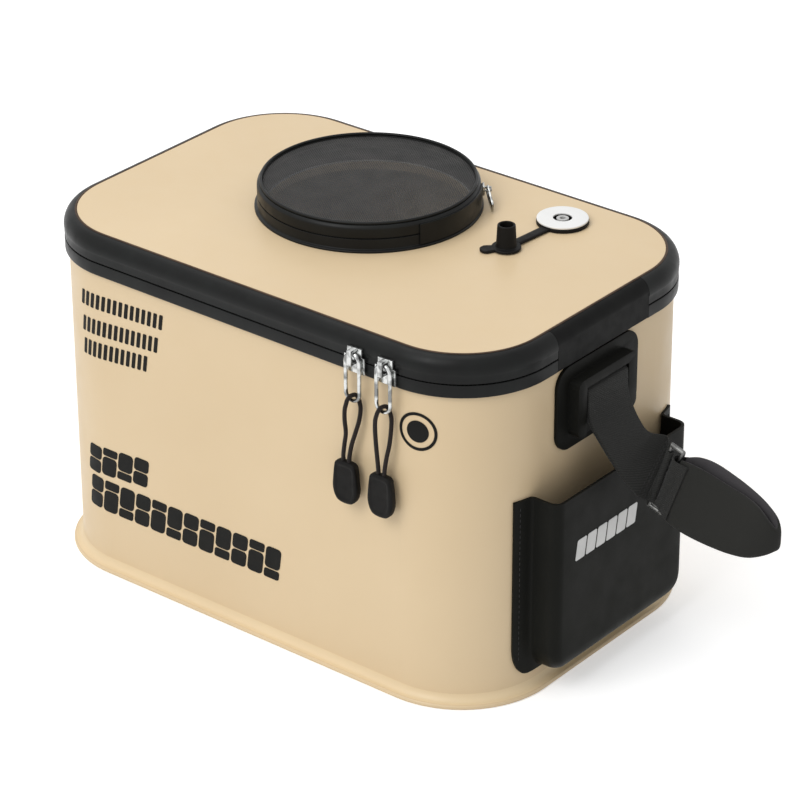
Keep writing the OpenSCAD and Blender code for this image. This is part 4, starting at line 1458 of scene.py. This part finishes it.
@dataclass
class AirPort:
    """Port for an air line: rubber disc, white disc, valve, tether and plug."""

    finishes: Finishes
    centre: tuple[float, float] = (103.0, 87.4)
    heading: tuple[float, float] = (-0.0806, -0.9967)
    reach: float = 58.3
    lid_z: float = 265.5
    disc_foot: float = 268.5
    disc_top: float = 269.9
    radius: float = 18.5
    well: float = 6.7
    tether_width: float = 7.5
    tether: float = 2.3
    plug_z: float = 265.8
    plug_height: float = 16.2
    flange_radius: float = 10.3
    bore: float = 4.8
    pinhole: float = 0.02
    tab_reach: float = 13.8
    tab_radius: float = 5.0
    tab_neck: tuple[float, float] = (5.0, 3.2)
    tab_middle: float = 11.0
    tab_turn: float = -33.0

    def at(self, x: float, y: float, z: float) -> Vector:
        """Place in the port's own frame, whose X runs towards the plug."""
        ex, ey = self.heading
        return Vector((self.centre[0] + ex * x - ey * y, self.centre[1] + ey * x + ex * y, z))

    def build(self) -> None:
        """Makes the pieces of the port."""
        made = self.finishes
        w, r = self.well, self.radius
        grommet = rounded_profile([
            (w, 257.5), (w + 5, 257.5), (w + 5, 259.9), (w + 1.5, 259.9), (w + 1.5, self.lid_z),
            (r, self.lid_z), (r, self.disc_foot), (w, self.disc_foot),
        ], 0.9)
        disc = rounded_profile([(w, self.disc_foot), (r - 0.3, self.disc_foot),
                                (r - 0.3, self.disc_top), (w, self.disc_top)], 0.55)
        place(lathe("port_rubber_disc", grommet, self.centre), "lid", made.rubber, "black_rubber",
              "port_grommet")
        place(lathe("port_white_disc", disc, self.centre), "lid", made.disc, "disc", "port_disc")
        dress("port_valve", made.valve)
        self.plug()
        self.strap()

    def plug(self) -> None:
        """Makes the plug with its flange, hollow spigot and pull tab."""
        made = self.finishes
        base, flange = self.plug_z, self.plug_z + self.tether
        tip, hollow = flange + self.plug_height, flange + 2.0
        rounded = rounded_profile([
            (self.flange_radius, base), (self.flange_radius, flange), (self.well + 0.5, flange),
            (self.well - 0.4, tip), (self.bore, tip), (self.bore, hollow),
        ], 0.7)
        # the curves of the first and last corner are left out, but for their nearest ends
        outline = [(self.pinhole, base), *rounded[4:-4], (self.bore, hollow),
                   (self.pinhole, hollow)]
        middle = self.at(self.reach, 0, 0)
        place(lathe("port_plug_body", outline, (middle.x, middle.y), steps=64), "port_plug",
              made.rubber, "black_rubber", "port_plug")
        neck, half_neck = self.tab_neck
        shape = [(self.tab_reach + self.tab_radius * math.cos(a), self.tab_radius * math.sin(a))
                 for a in arc(-80, 80, 24)]
        shape += [(neck, half_neck), (neck, -half_neck)]
        turn, pivot = math.radians(self.tab_turn), Vector((self.tab_middle, 0))
        rings = []
        for inset, z in ((0.6, base), (0.1, base + 0.35), (0.0, flange - 0.5),
                         (0.5, flange - 0.02)):
            ring = []
            for point in shape:
                q = Vector(point) - pivot
                q = q * (1 - inset / max(q.length, 1.0)) + pivot
                ring.append(self.at(self.reach + q.x * math.cos(turn) - q.y * math.sin(turn),
                                    q.x * math.sin(turn) + q.y * math.cos(turn), z))
            rings.append(ring)
        place(skin("port_plug_tab", rings), "port_plug", made.rubber, "black_rubber")

    def strap(self) -> None:
        """Makes the tether, which runs between lid and plug."""
        first, last = self.radius - 2.5, self.reach - 9.0
        steps = 60
        mid = self.plug_z + self.tether / 2
        line = [self.at(first + (last - first) * k / steps, 0, mid) for k in range(steps + 1)]
        wide = (self.at(0, 1, 0) - self.at(0, 0, 0)).normalized()
        tether = band("port_tether", line, [wide] * len(line),
                      [flat_section(self.tether_width, self.tether)])
        tether.data.materials.append(self.finishes.rubber)
        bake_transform(tether)
        LOG.info("%s bends between lid and plug", tether.name)


# ---------------------------------------------------------------- zip pulls


@dataclass(frozen=True)
class PullSizes:
    """What differs between the two zip pulls; the cord's route is in metres."""

    side: str
    x: float
    tag_x: float
    route: tuple[Point, ...]


LEFT_PULL = PullSizes("left", 100.0, -6.0, (
    (-0.0035, 0.0, -0.0475), (-0.0034, 0.0002, -0.043), (-0.002, 0.001, -0.034),
    (0.0006, 0.0017, -0.025), (0.0032, 0.0026, -0.015), (0.0036, 0.0037, -0.007),
    (0.0026, 0.004, -0.0025), (0.0016, 0.0036, 0.0012), (0.0006, 0.0018, 0.0036),
    (-0.0006, -0.0018, 0.0036), (-0.0016, -0.0036, 0.0012), (-0.0026, -0.004, -0.0025),
    (-0.0039, -0.0037, -0.007), (-0.005, -0.0026, -0.015), (-0.0048, -0.0017, -0.025),
    (-0.0066, -0.001, -0.034), (-0.0084, -0.0002, -0.043), (-0.0085, 0.0, -0.0475),
))
RIGHT_PULL = PullSizes("right", 126.0, -2.0, (
    (-0.0045, 0.0, -0.0475), (-0.0045, -0.0003, -0.043), (-0.0046, -0.0012, -0.034),
    (-0.0048, -0.002, -0.025), (-0.0048, -0.0028, -0.015), (-0.004, -0.0037, -0.007),
    (-0.0028, -0.004, -0.0025), (-0.0016, -0.0036, 0.0012), (-0.0006, -0.0018, 0.0036),
    (0.0006, 0.0018, 0.0036), (0.0016, 0.0036, 0.0012), (0.0028, 0.004, -0.0025),
    (0.0038, 0.0037, -0.007), (0.004, 0.0028, -0.015), (0.0032, 0.002, -0.025),
    (0.0016, 0.0012, -0.034), (0.0006, 0.0003, -0.043), (0.0005, 0.0, -0.0475),
))


@dataclass
class ZipPull:
    """Slider, link, cord and tag of one end of the zip."""

    finishes: Finishes
    sizes: PullSizes
    link_y: float = -138.2
    foot_z: float = 218.7
    cord: float = 3.0
    tag_top: float = -47.5
    tag_wide: float = 21.5
    tag_height: float = 32.0
    tag_thick: float = 6.0

    def build_cord(self) -> None:
        side = self.sizes.side
        origin = Vector((self.sizes.x, self.link_y, self.foot_z))
        route = smooth_line([Vector(p) / MM + origin for p in self.sizes.route], 5)
        across, radius = Vector((0, 1, 0)), self.cord / 2
        rings = []
        for p, t in zip(route, tangents(route)):
            across = (across - t * across.dot(t)).normalized()
            up = t.cross(across)
            rings.append([p + across * (radius * math.cos(a)) + up * (radius * math.sin(a))
                          for a in circle(14)])
        cord = skin(f"braided_pull_cord_{side}", rings)
        place(cord, f"pull_tag_{side}", self.finishes.cord, "cord", f"pull_cord_{side}")

    def build(self) -> None:
        """Makes the slider, link and tag."""
        made, side = self.finishes, self.sizes.side
        place(softened(f"bright_slider_{side}", [f"zip_slider_{side}"], 0.9, 3),
              f"zip_slider_{side}", made.metal, "bright_metal")
        dress(f"pull_link_{side}", made.metal)
        self.tag()

    def tag_outline(self) -> Profile:
        """Outline of the tag, as (across, height below its top)."""
        wide, deep = self.tag_wide / 2, -self.tag_height
        corners = [(-5.6, 0.0), (5.6, 0.0), (8.4, -1.6), (9.9, -11.0), (wide, -20.5),
                   (wide - 1.4, -26.5), (6.4, deep + 1.1), (0.0, deep), (-6.4, deep + 1.1),
                   (-wide + 1.4, -26.5), (-wide, -20.5), (-9.9, -11.0), (-8.4, -1.6)]
        return rounded_profile(corners, 4.2, 5)

    def tag(self) -> None:
        """Makes the rubber tag with soft edges and a sunk face."""
        side = self.sizes.side
        x = self.sizes.x + self.sizes.tag_x
        top = self.foot_z + self.tag_top
        half = self.tag_thick / 2
        middle = Vector((0.0, -self.tag_height * 0.55))
        rings = []
        for depth, inset in (
            (-half + 0.35, 4.6), (-half + 0.3, 3.6), (-half, 2.9), (-half, 1.5),
            (-half + 0.35, 0.6), (-half + 1.1, 0.1), (0.0, 0.0), (half - 1.1, 0.1),
            (half - 0.35, 0.6), (half, 1.5),
        ):
            ring = []
            for a, b in self.tag_outline():
                q = Vector((a, b)) - middle
                q = q * (1 - inset / q.length) + middle
                ring.append(Vector((x + q.x, self.link_y + depth, top + q.y)))
            rings.append(ring)
        place(skin(f"rubber_tag_{side}", rings), f"pull_tag_{side}", self.finishes.rubber,
              "black_rubber", f"pull_tag_{side}")


# ---------------------------------------------------------------- handles


# Places round the grip, from the ring to its tip and back. The hanging grip's rows hold the share
# of its length, the way out from the wall, and the shares of its thickness and width. The
# standing grip's rows hold the share of its length, the way along Y and Z from the ring, the
# direction of the width, and the shares of its thickness and width.
HANGING_GRIP = (
    (0.12, 5.5, 0.78, 1), (0.29, 8, 1.02, 1), (0.48, 9.5, 1.05, 0.98), (0.66, 9.2, 1.05, 0.94),
    (0.82, 7.5, 1, 0.84), (0.93, 4.6, 0.98, 0.7), (0.965, 1, 0.95, 0.62),
    (0.93, -2.6, 0.98, 0.7), (0.82, -4.8, 1, 0.84), (0.66, -5.4, 1.02, 0.94),
    (0.48, -5.2, 1.02, 0.98), (0.29, -4.8, 1, 1), (0.12, -4, 0.78, 1),
)
STANDING_GRIP = (
    (0.12, -5.5, -3.5, (0.25, 0.2, 0.95), 0.78, 1),
    (0.29, -5, -7, (0.12, 0.36, 0.92), 1.05, 0.97),
    (0.48, -4.5, -10, (0, 0.42, 0.9), 1.1, 0.92),
    (0.65, -4, -12, (0, 0.42, 0.9), 1.1, 0.86),
    (0.79, -3.5, -13.5, (0, 0.32, 0.94), 1.1, 0.75),
    (0.89, -1, -15.5, (0, 0.15, 0.99), 1.05, 0.54),
    (0.94, 3.5, -17, (0, 0.02, 1), 1, 0.36),
    (0.9, 7, -15.5, (0, 0.04, 1), 1.05, 0.54),
    (0.8, 8, -13.5, (0, 0.05, 1), 1.1, 0.73),
    (0.65, 9, -10.5, (0, 0.06, 1), 1.1, 0.85),
    (0.48, 9, -6.5, (0, 0.08, 1), 1.1, 0.9),
    (0.31, 8, -3.5, (0.08, 0.08, 0.98), 1.05, 0.96),
    (0.14, 5.5, -1.5, (0.25, 0.04, 0.97), 0.78, 1),
)


@dataclass
class EndHandle:
    """Patch, bar, webbing, ring and padded grip at one end of the bucket.

    Every piece is drawn at the right end; the left one is mirrored, and it hangs.
    """

    finishes: Finishes
    side: Side
    bar: Point = (207.3, -5.0, 213.5)
    bar_radius: float = 2.5
    strap_x: float = 210.26
    strap_width: float = 45.0
    strap_drop: float = 62.5
    layer: float = 1.5
    ring: Point = (254.0, 4.0, 151.0)
    ring_tilt: float = 18.0
    ring_gap: float = 9.5
    wire: float = 3.6
    grip_start: float = 4.5
    grip_length: float = 87.0
    grip_width: float = 47.0
    grip_thick: float = 6.5
    root: float = 2.6
    root_thick: float = 3.2
    stitch_shares: tuple[float, ...] = (-0.42, -0.2, 0.0, 0.2, 0.42)
    tab_length: int = 3
    tab_thick: float = 1.2
    tab_turn: float = 4.75
    tab_inset: float = 5.0

    def __post_init__(self) -> None:
        """Works out the ring's place and its own directions."""
        a = math.radians(self.ring_tilt)
        if self.hangs:
            self.ring = (self.strap_x, self.bar[1], self.bar[2] - self.strap_drop)
            self.long = Vector((0, 1, 0))
            self.out = Vector((0, 0, -1))
            self.face = Vector((1, 0, 0))
        else:
            self.long = Vector((math.sin(a), 0, math.cos(a)))
            self.out = Vector((math.cos(a), 0, -math.sin(a)))
            self.face = Vector((0, -1, 0))
        self.near_bar = Vector(self.ring) - self.out * (self.ring_gap / 2)
        self.far_bar = Vector(self.ring) + self.out * (self.ring_gap / 2)

    @property
    def hangs(self) -> bool:
        """Whether the handle hangs, as the one on the far end does."""
        return self.side is Side.LEFT

    @property
    def body(self) -> str:
        """Body that the handle rides on."""
        return f"handle_{self.side.word}"

    def turned(self, p: Vector) -> Vector:
        """Mirrors a point to the handle's own end."""
        return Vector((p.x * self.side.value, p.y, p.z))

    def strap_line(self) -> tuple[list[Vector], list[Vector]]:
        """Lays the doubled strap from bar to ring.

        Returns:
            The middle line and the width's direction at each of its points.
        """
        x, y, z = self.strap_x, self.bar[1], self.bar[2]
        near = self.near_bar
        if self.hangs:
            last = z - near.z
            stations = [((x, y, z - drop), (0, 1, 0))
                        for drop in (0, 10, 20, 30, 40, 50, last)]
        else:
            stations = [
                ((x, y, z), (0, 1, 0)), ((x, y, z - 11), (0, 1, 0)),
                ((x + 3, y, z - 22), (0, 1, 0)), ((x + 12, y + 0.5, z - 35.5), (-0.06, 1, 0)),
                ((x + 21, y + 2, z - 46), (-0.12, 0.96, 0.16)),
                (near + Vector((-9, -2.4, 7.8)), (0.02, 0.8, 0.55)),
                (near + Vector((-4, -1.2, 3.6)), (0.2, 0.38, 0.88)), (near, self.long),
            ]
        return (smooth_line([s[0] for s in stations], 6), smooth_line([s[1] for s in stations], 6))

    def strap(self) -> None:
        """Makes the webbing as one loop round the bar and the ring."""
        made = self.finishes
        line, wide = self.strap_line()
        directions = tangents(line)
        outs = [t.cross(w.normalized()).normalized() for t, w in zip(directions, wide)]
        step = self.layer / 2 + 0.08
        turn = self.bar_radius + self.layer / 2 + 0.25
        bar = Vector(self.bar)
        path: list[Vector] = []
        across: list[Vector] = []
        for a in arc(-80, -350, 11):
            path.append(bar + Vector((math.cos(a), 0, math.sin(a))) * turn)
            across.append(Vector((0, 1, 0)))
        for i in range(3, len(line) - 4):
            path.append(line[i] + outs[i] * step)
            across.append(wide[i])
        face, radius = outs[-1], self.wire / 2 + self.layer / 2 + 0.2
        for a in arc(-10, 190, 9):
            path.append(self.near_bar + (face * math.cos(a) + self.out * math.sin(a)) * radius)
            across.append(self.long)
        for i in reversed(range(7, len(line) - 4)):
            path.append(line[i] - outs[i] * step)
            across.append(wide[i])
        strap = band(f"webbing_strap_{self.side.word}", path, across,
                     [flat_section(self.strap_width, self.layer)], loop=True, mirrored=self.hangs)
        place(strap, self.body, made.webbing, "webbing", f"strap_{self.side.word}")
        lines = []
        for i in (len(line) - 9, len(line) - 7):
            lift = outs[i] * (step + self.layer / 2 + 0.1)
            side = wide[i].normalized()
            lines.append([self.turned(line[i] + side * (self.strap_width * share) + lift)
                          for share in self.stitch_shares])
        place(made.row(f"strap_stitches_{self.side.word}", lines, STRAP_STITCH, made.thread),
              self.body, None, "webbing")

    def grip_stations(self) -> list[tuple[Vector, Vector, float, float]]:
        """Works out the places round the grip.

        Returns:
            For each place its middle, the width's direction, the thickness and the width.
        """
        if self.hangs:
            places = [(self.far_bar + Vector((x, 0, -self.grip_length * share)), self.long, *shares)
                      for share, x, *shares in HANGING_GRIP]
        else:
            ring = Vector(self.ring)
            places = [(ring + Vector((self.grip_start + self.grip_length * share, y, z)),
                       Vector(across), *shares) for share, y, z, across, *shares in STANDING_GRIP]
        start = self.far_bar + self.out * self.root
        first, last = ((start + self.face * lift, self.long, self.root_thick, self.grip_width)
                       for lift in (self.root, -self.root))
        return [first, *((middle, across, self.grip_thick * thick, self.grip_width * wide)
                         for middle, across, thick, wide in places), last]

    def grip(self) -> None:
        """Makes the padded grip, with a lighter copy of its cloth on one half of its section as
        painted light, and the tab that holds it on the ring.
        """
        made = self.finishes
        stations = self.grip_stations()
        line = smooth_line([s[0] for s in stations], 6)
        wide = [w.normalized() for w in smooth_line([s[1] for s in stations], 6)]
        size = smooth_line([(s[2], s[3], 0) for s in stations], 6)
        sections = []
        for i, (thick, width, _) in enumerate(size):
            dimple = 1 + 0.012 * math.sin(1.9 * i) + 0.008 * math.sin(0.7 * i + 1)
            sections.append(pad_section(width, thick * dimple))
        grip = band(f"padded_grip_{self.side.word}", line, wide, sections, mirrored=self.hangs)
        place(grip, self.body, made.pad, "grip_pad", f"grip_{self.side.word}")
        # one half of the grip's section takes the lighter copy of its cloth, as painted light
        grip.data.materials.append(made.pad_painted_light)
        points = len(sections[0])
        for face in grip.data.polygons:
            face.material_index = int(face.index % points > points / 2)
        outs = [t.cross(w).normalized() for t, w in zip(tangents(line), wide)]
        surface = [p + o * (s.x / 2 + 0.7) for p, o, s in zip(line, outs, size)]
        self.tab(surface, wide)

    def tab(self, surface: Sequence[Vector], wide: Sequence[Vector]) -> None:
        """Makes the webbing tab that wraps the ring's far bar and the grip's ends.

        Args:
            surface: line that runs on the grip's outer face, from end to end.
            wide: the grip's width directions.
        """
        front = list(reversed(range(4, self.tab_length + 4)))
        back = [len(surface) - 1 - i for i in reversed(front)]
        turn = [self.far_bar + (self.face * math.cos(a) - self.out * math.sin(a)) * self.tab_turn
                for a in arc(0, 180, 8)]
        path = [surface[i] for i in front] + turn + [surface[i] for i in back]
        across = [wide[i] for i in front] + [self.long] * len(turn) + [wide[i] for i in back]
        section = flat_section(self.grip_width - self.tab_inset, self.tab_thick)
        tab = band(f"grip_tab_{self.side.word}", path, across, [section], mirrored=self.hangs)
        place(tab, self.body, self.finishes.webbing, "webbing")

    def build(self) -> None:
        """Makes every piece of the handle."""
        made, word = self.finishes, self.side.word
        place(softened(f"moulded_patch_{word}", [f"handle_patch_{word}"], 1.1, 3), "tub",
              made.moulded, "moulded_foam")
        dress(f"handle_bar_{word}", made.metal)
        dress(f"strap_ring_{word}", made.ring)
        self.strap()
        self.grip()


# ---------------------------------------------------------------- the studio


@dataclass(frozen=True)
class Lamp:
    """Soft square lamp: where it hangs, its side in metres and its power in watts."""

    name: str
    where: Point
    size: float
    power: float


WHITE = (1, 1, 1, 1)


@dataclass
class Studio:
    """Pale floor, soft lamps and the camera of the photograph, in metres."""

    eye: Point = (1.4559, -1.7614, 1.3423)
    azimuth: float = 39.03
    elevation: float = 27.98
    roll: float = 0.22
    sensor: float = 36.0
    lens: float = 163.806
    world: float = 0.5
    floor_reach: float = 6.0
    floor_tone: float = 0.9
    floor_glow: float = 0.42
    target: Point = (0, 0, 0.15)
    lamps: tuple[Lamp, ...] = (Lamp("key_lamp", (-0.1, -2.0, 2.1), 1.6, 32.5),
                               Lamp("top_lamp", (-0.5, -0.1, 2.4), 1.8, 17.5))

    def camera(self) -> None:
        """Makes the camera."""
        data = bpy.data.cameras.new("camera")
        data.sensor_width = self.sensor
        data.lens = self.lens
        cam = new_object("camera", data)
        a, e = math.radians(self.azimuth), math.radians(self.elevation)
        ahead = Vector((-math.sin(a) * math.cos(e), math.cos(a) * math.cos(e), -math.sin(e)))
        cam.location = self.eye
        cam.rotation_mode = "QUATERNION"
        level = ahead.to_track_quat("-Z", "Y")
        cam.rotation_quaternion = Quaternion(ahead, math.radians(self.roll)) @ level
        bpy.context.scene.camera = cam

    def light(self, lamp: Lamp) -> None:
        """Makes a lamp that looks at the bucket."""
        data = bpy.data.lights.new(lamp.name, "AREA")
        data.size = lamp.size
        data.energy = lamp.power
        obj = new_object(lamp.name, data)
        obj.location = lamp.where
        obj.rotation_mode = "QUATERNION"
        ahead = Vector(self.target) - Vector(lamp.where)
        obj.rotation_quaternion = ahead.to_track_quat("-Z", "Y")

    def seen(self, tree: bpy.types.NodeTree) -> bpy.types.NodeSocket:
        """Tells whether the backdrop is met by a ray that is seen, mirrored or refracted."""
        path = tree.nodes.new("ShaderNodeLightPath")
        share = path.outputs["Is Camera Ray"]
        for kind in ("Is Glossy Ray", "Is Transmission Ray"):
            either = tree.nodes.new("ShaderNodeMath")
            either.operation = "MAXIMUM"
            tree.links.new(share, either.inputs[0])
            tree.links.new(path.outputs[kind], either.inputs[1])
            share = either.outputs[0]
        return share

    def surroundings(self) -> None:
        """Makes the floor and the world."""
        mesh = bpy.data.meshes.new("floor")
        r, tone = self.floor_reach, self.floor_tone
        mesh.from_pydata([(-r, -r, 0), (r, -r, 0), (r, r, 0), (-r, r, 0)], [], [(0, 1, 2, 3)])
        floor = new_object("floor", mesh)
        g = Graph("pale_floor")
        g.set(Base_Color=(tone, tone, tone, 1.0), Roughness=0.9)
        glow = g.add("ShaderNodeEmission", {"Color": WHITE, "Strength": self.floor_glow})
        both = g.add("ShaderNodeAddShader")
        pick = g.add("ShaderNodeMixShader")
        out = g.nodes["Material Output"]
        g.links.new(g.shader.outputs[0], both.inputs[0])
        g.links.new(glow.outputs[0], both.inputs[1])
        g.links.new(self.seen(g.material.node_tree), pick.inputs[0])
        g.links.new(g.shader.outputs[0], pick.inputs[1])
        g.links.new(both.outputs[0], pick.inputs[2])
        g.links.new(pick.outputs[0], out.inputs["Surface"])
        mesh.materials.append(g.material)
        world = bpy.data.worlds.new("soft_world")
        bpy.context.scene.world = world
        world.use_nodes = True
        nodes, links = world.node_tree.nodes, world.node_tree.links
        mix = nodes.new("ShaderNodeMixShader")
        links.new(self.seen(world.node_tree), mix.inputs[0])
        for slot, sky, strength in ((1, nodes["Background"], self.world),
                                    (2, nodes.new("ShaderNodeBackground"), 1.0)):
            sky.inputs["Color"].default_value = WHITE
            sky.inputs["Strength"].default_value = strength
            links.new(sky.outputs[0], mix.inputs[slot])
        links.new(mix.outputs[0], nodes["World Output"].inputs["Surface"])

    def build(self) -> None:
        """Makes the whole setting."""
        self.camera()
        self.surroundings()
        for lamp in self.lamps:
            self.light(lamp)
        bpy.context.scene.view_settings.view_transform = "Standard"


def main() -> None:
    """Builds the bucket's looks, cords first."""
    logging.basicConfig(level=logging.INFO, format="%(name)s: %(message)s")
    Studio().build()
    finishes = Finishes()
    pulls = [ZipPull(finishes, LEFT_PULL), ZipPull(finishes, RIGHT_PULL)]
    for pull in pulls:
        pull.build_cord()
    for pull in pulls:
        pull.build()
    Tub(finishes).build()
    Pocket(finishes).build()
    Lid(finishes).build()
    Hatch(finishes).build()
    HatchPull(finishes).build()
    AirPort(finishes).build()
    for side in Side:
        EndHandle(finishes, side).build()


if __name__ == "__main__":
    main()
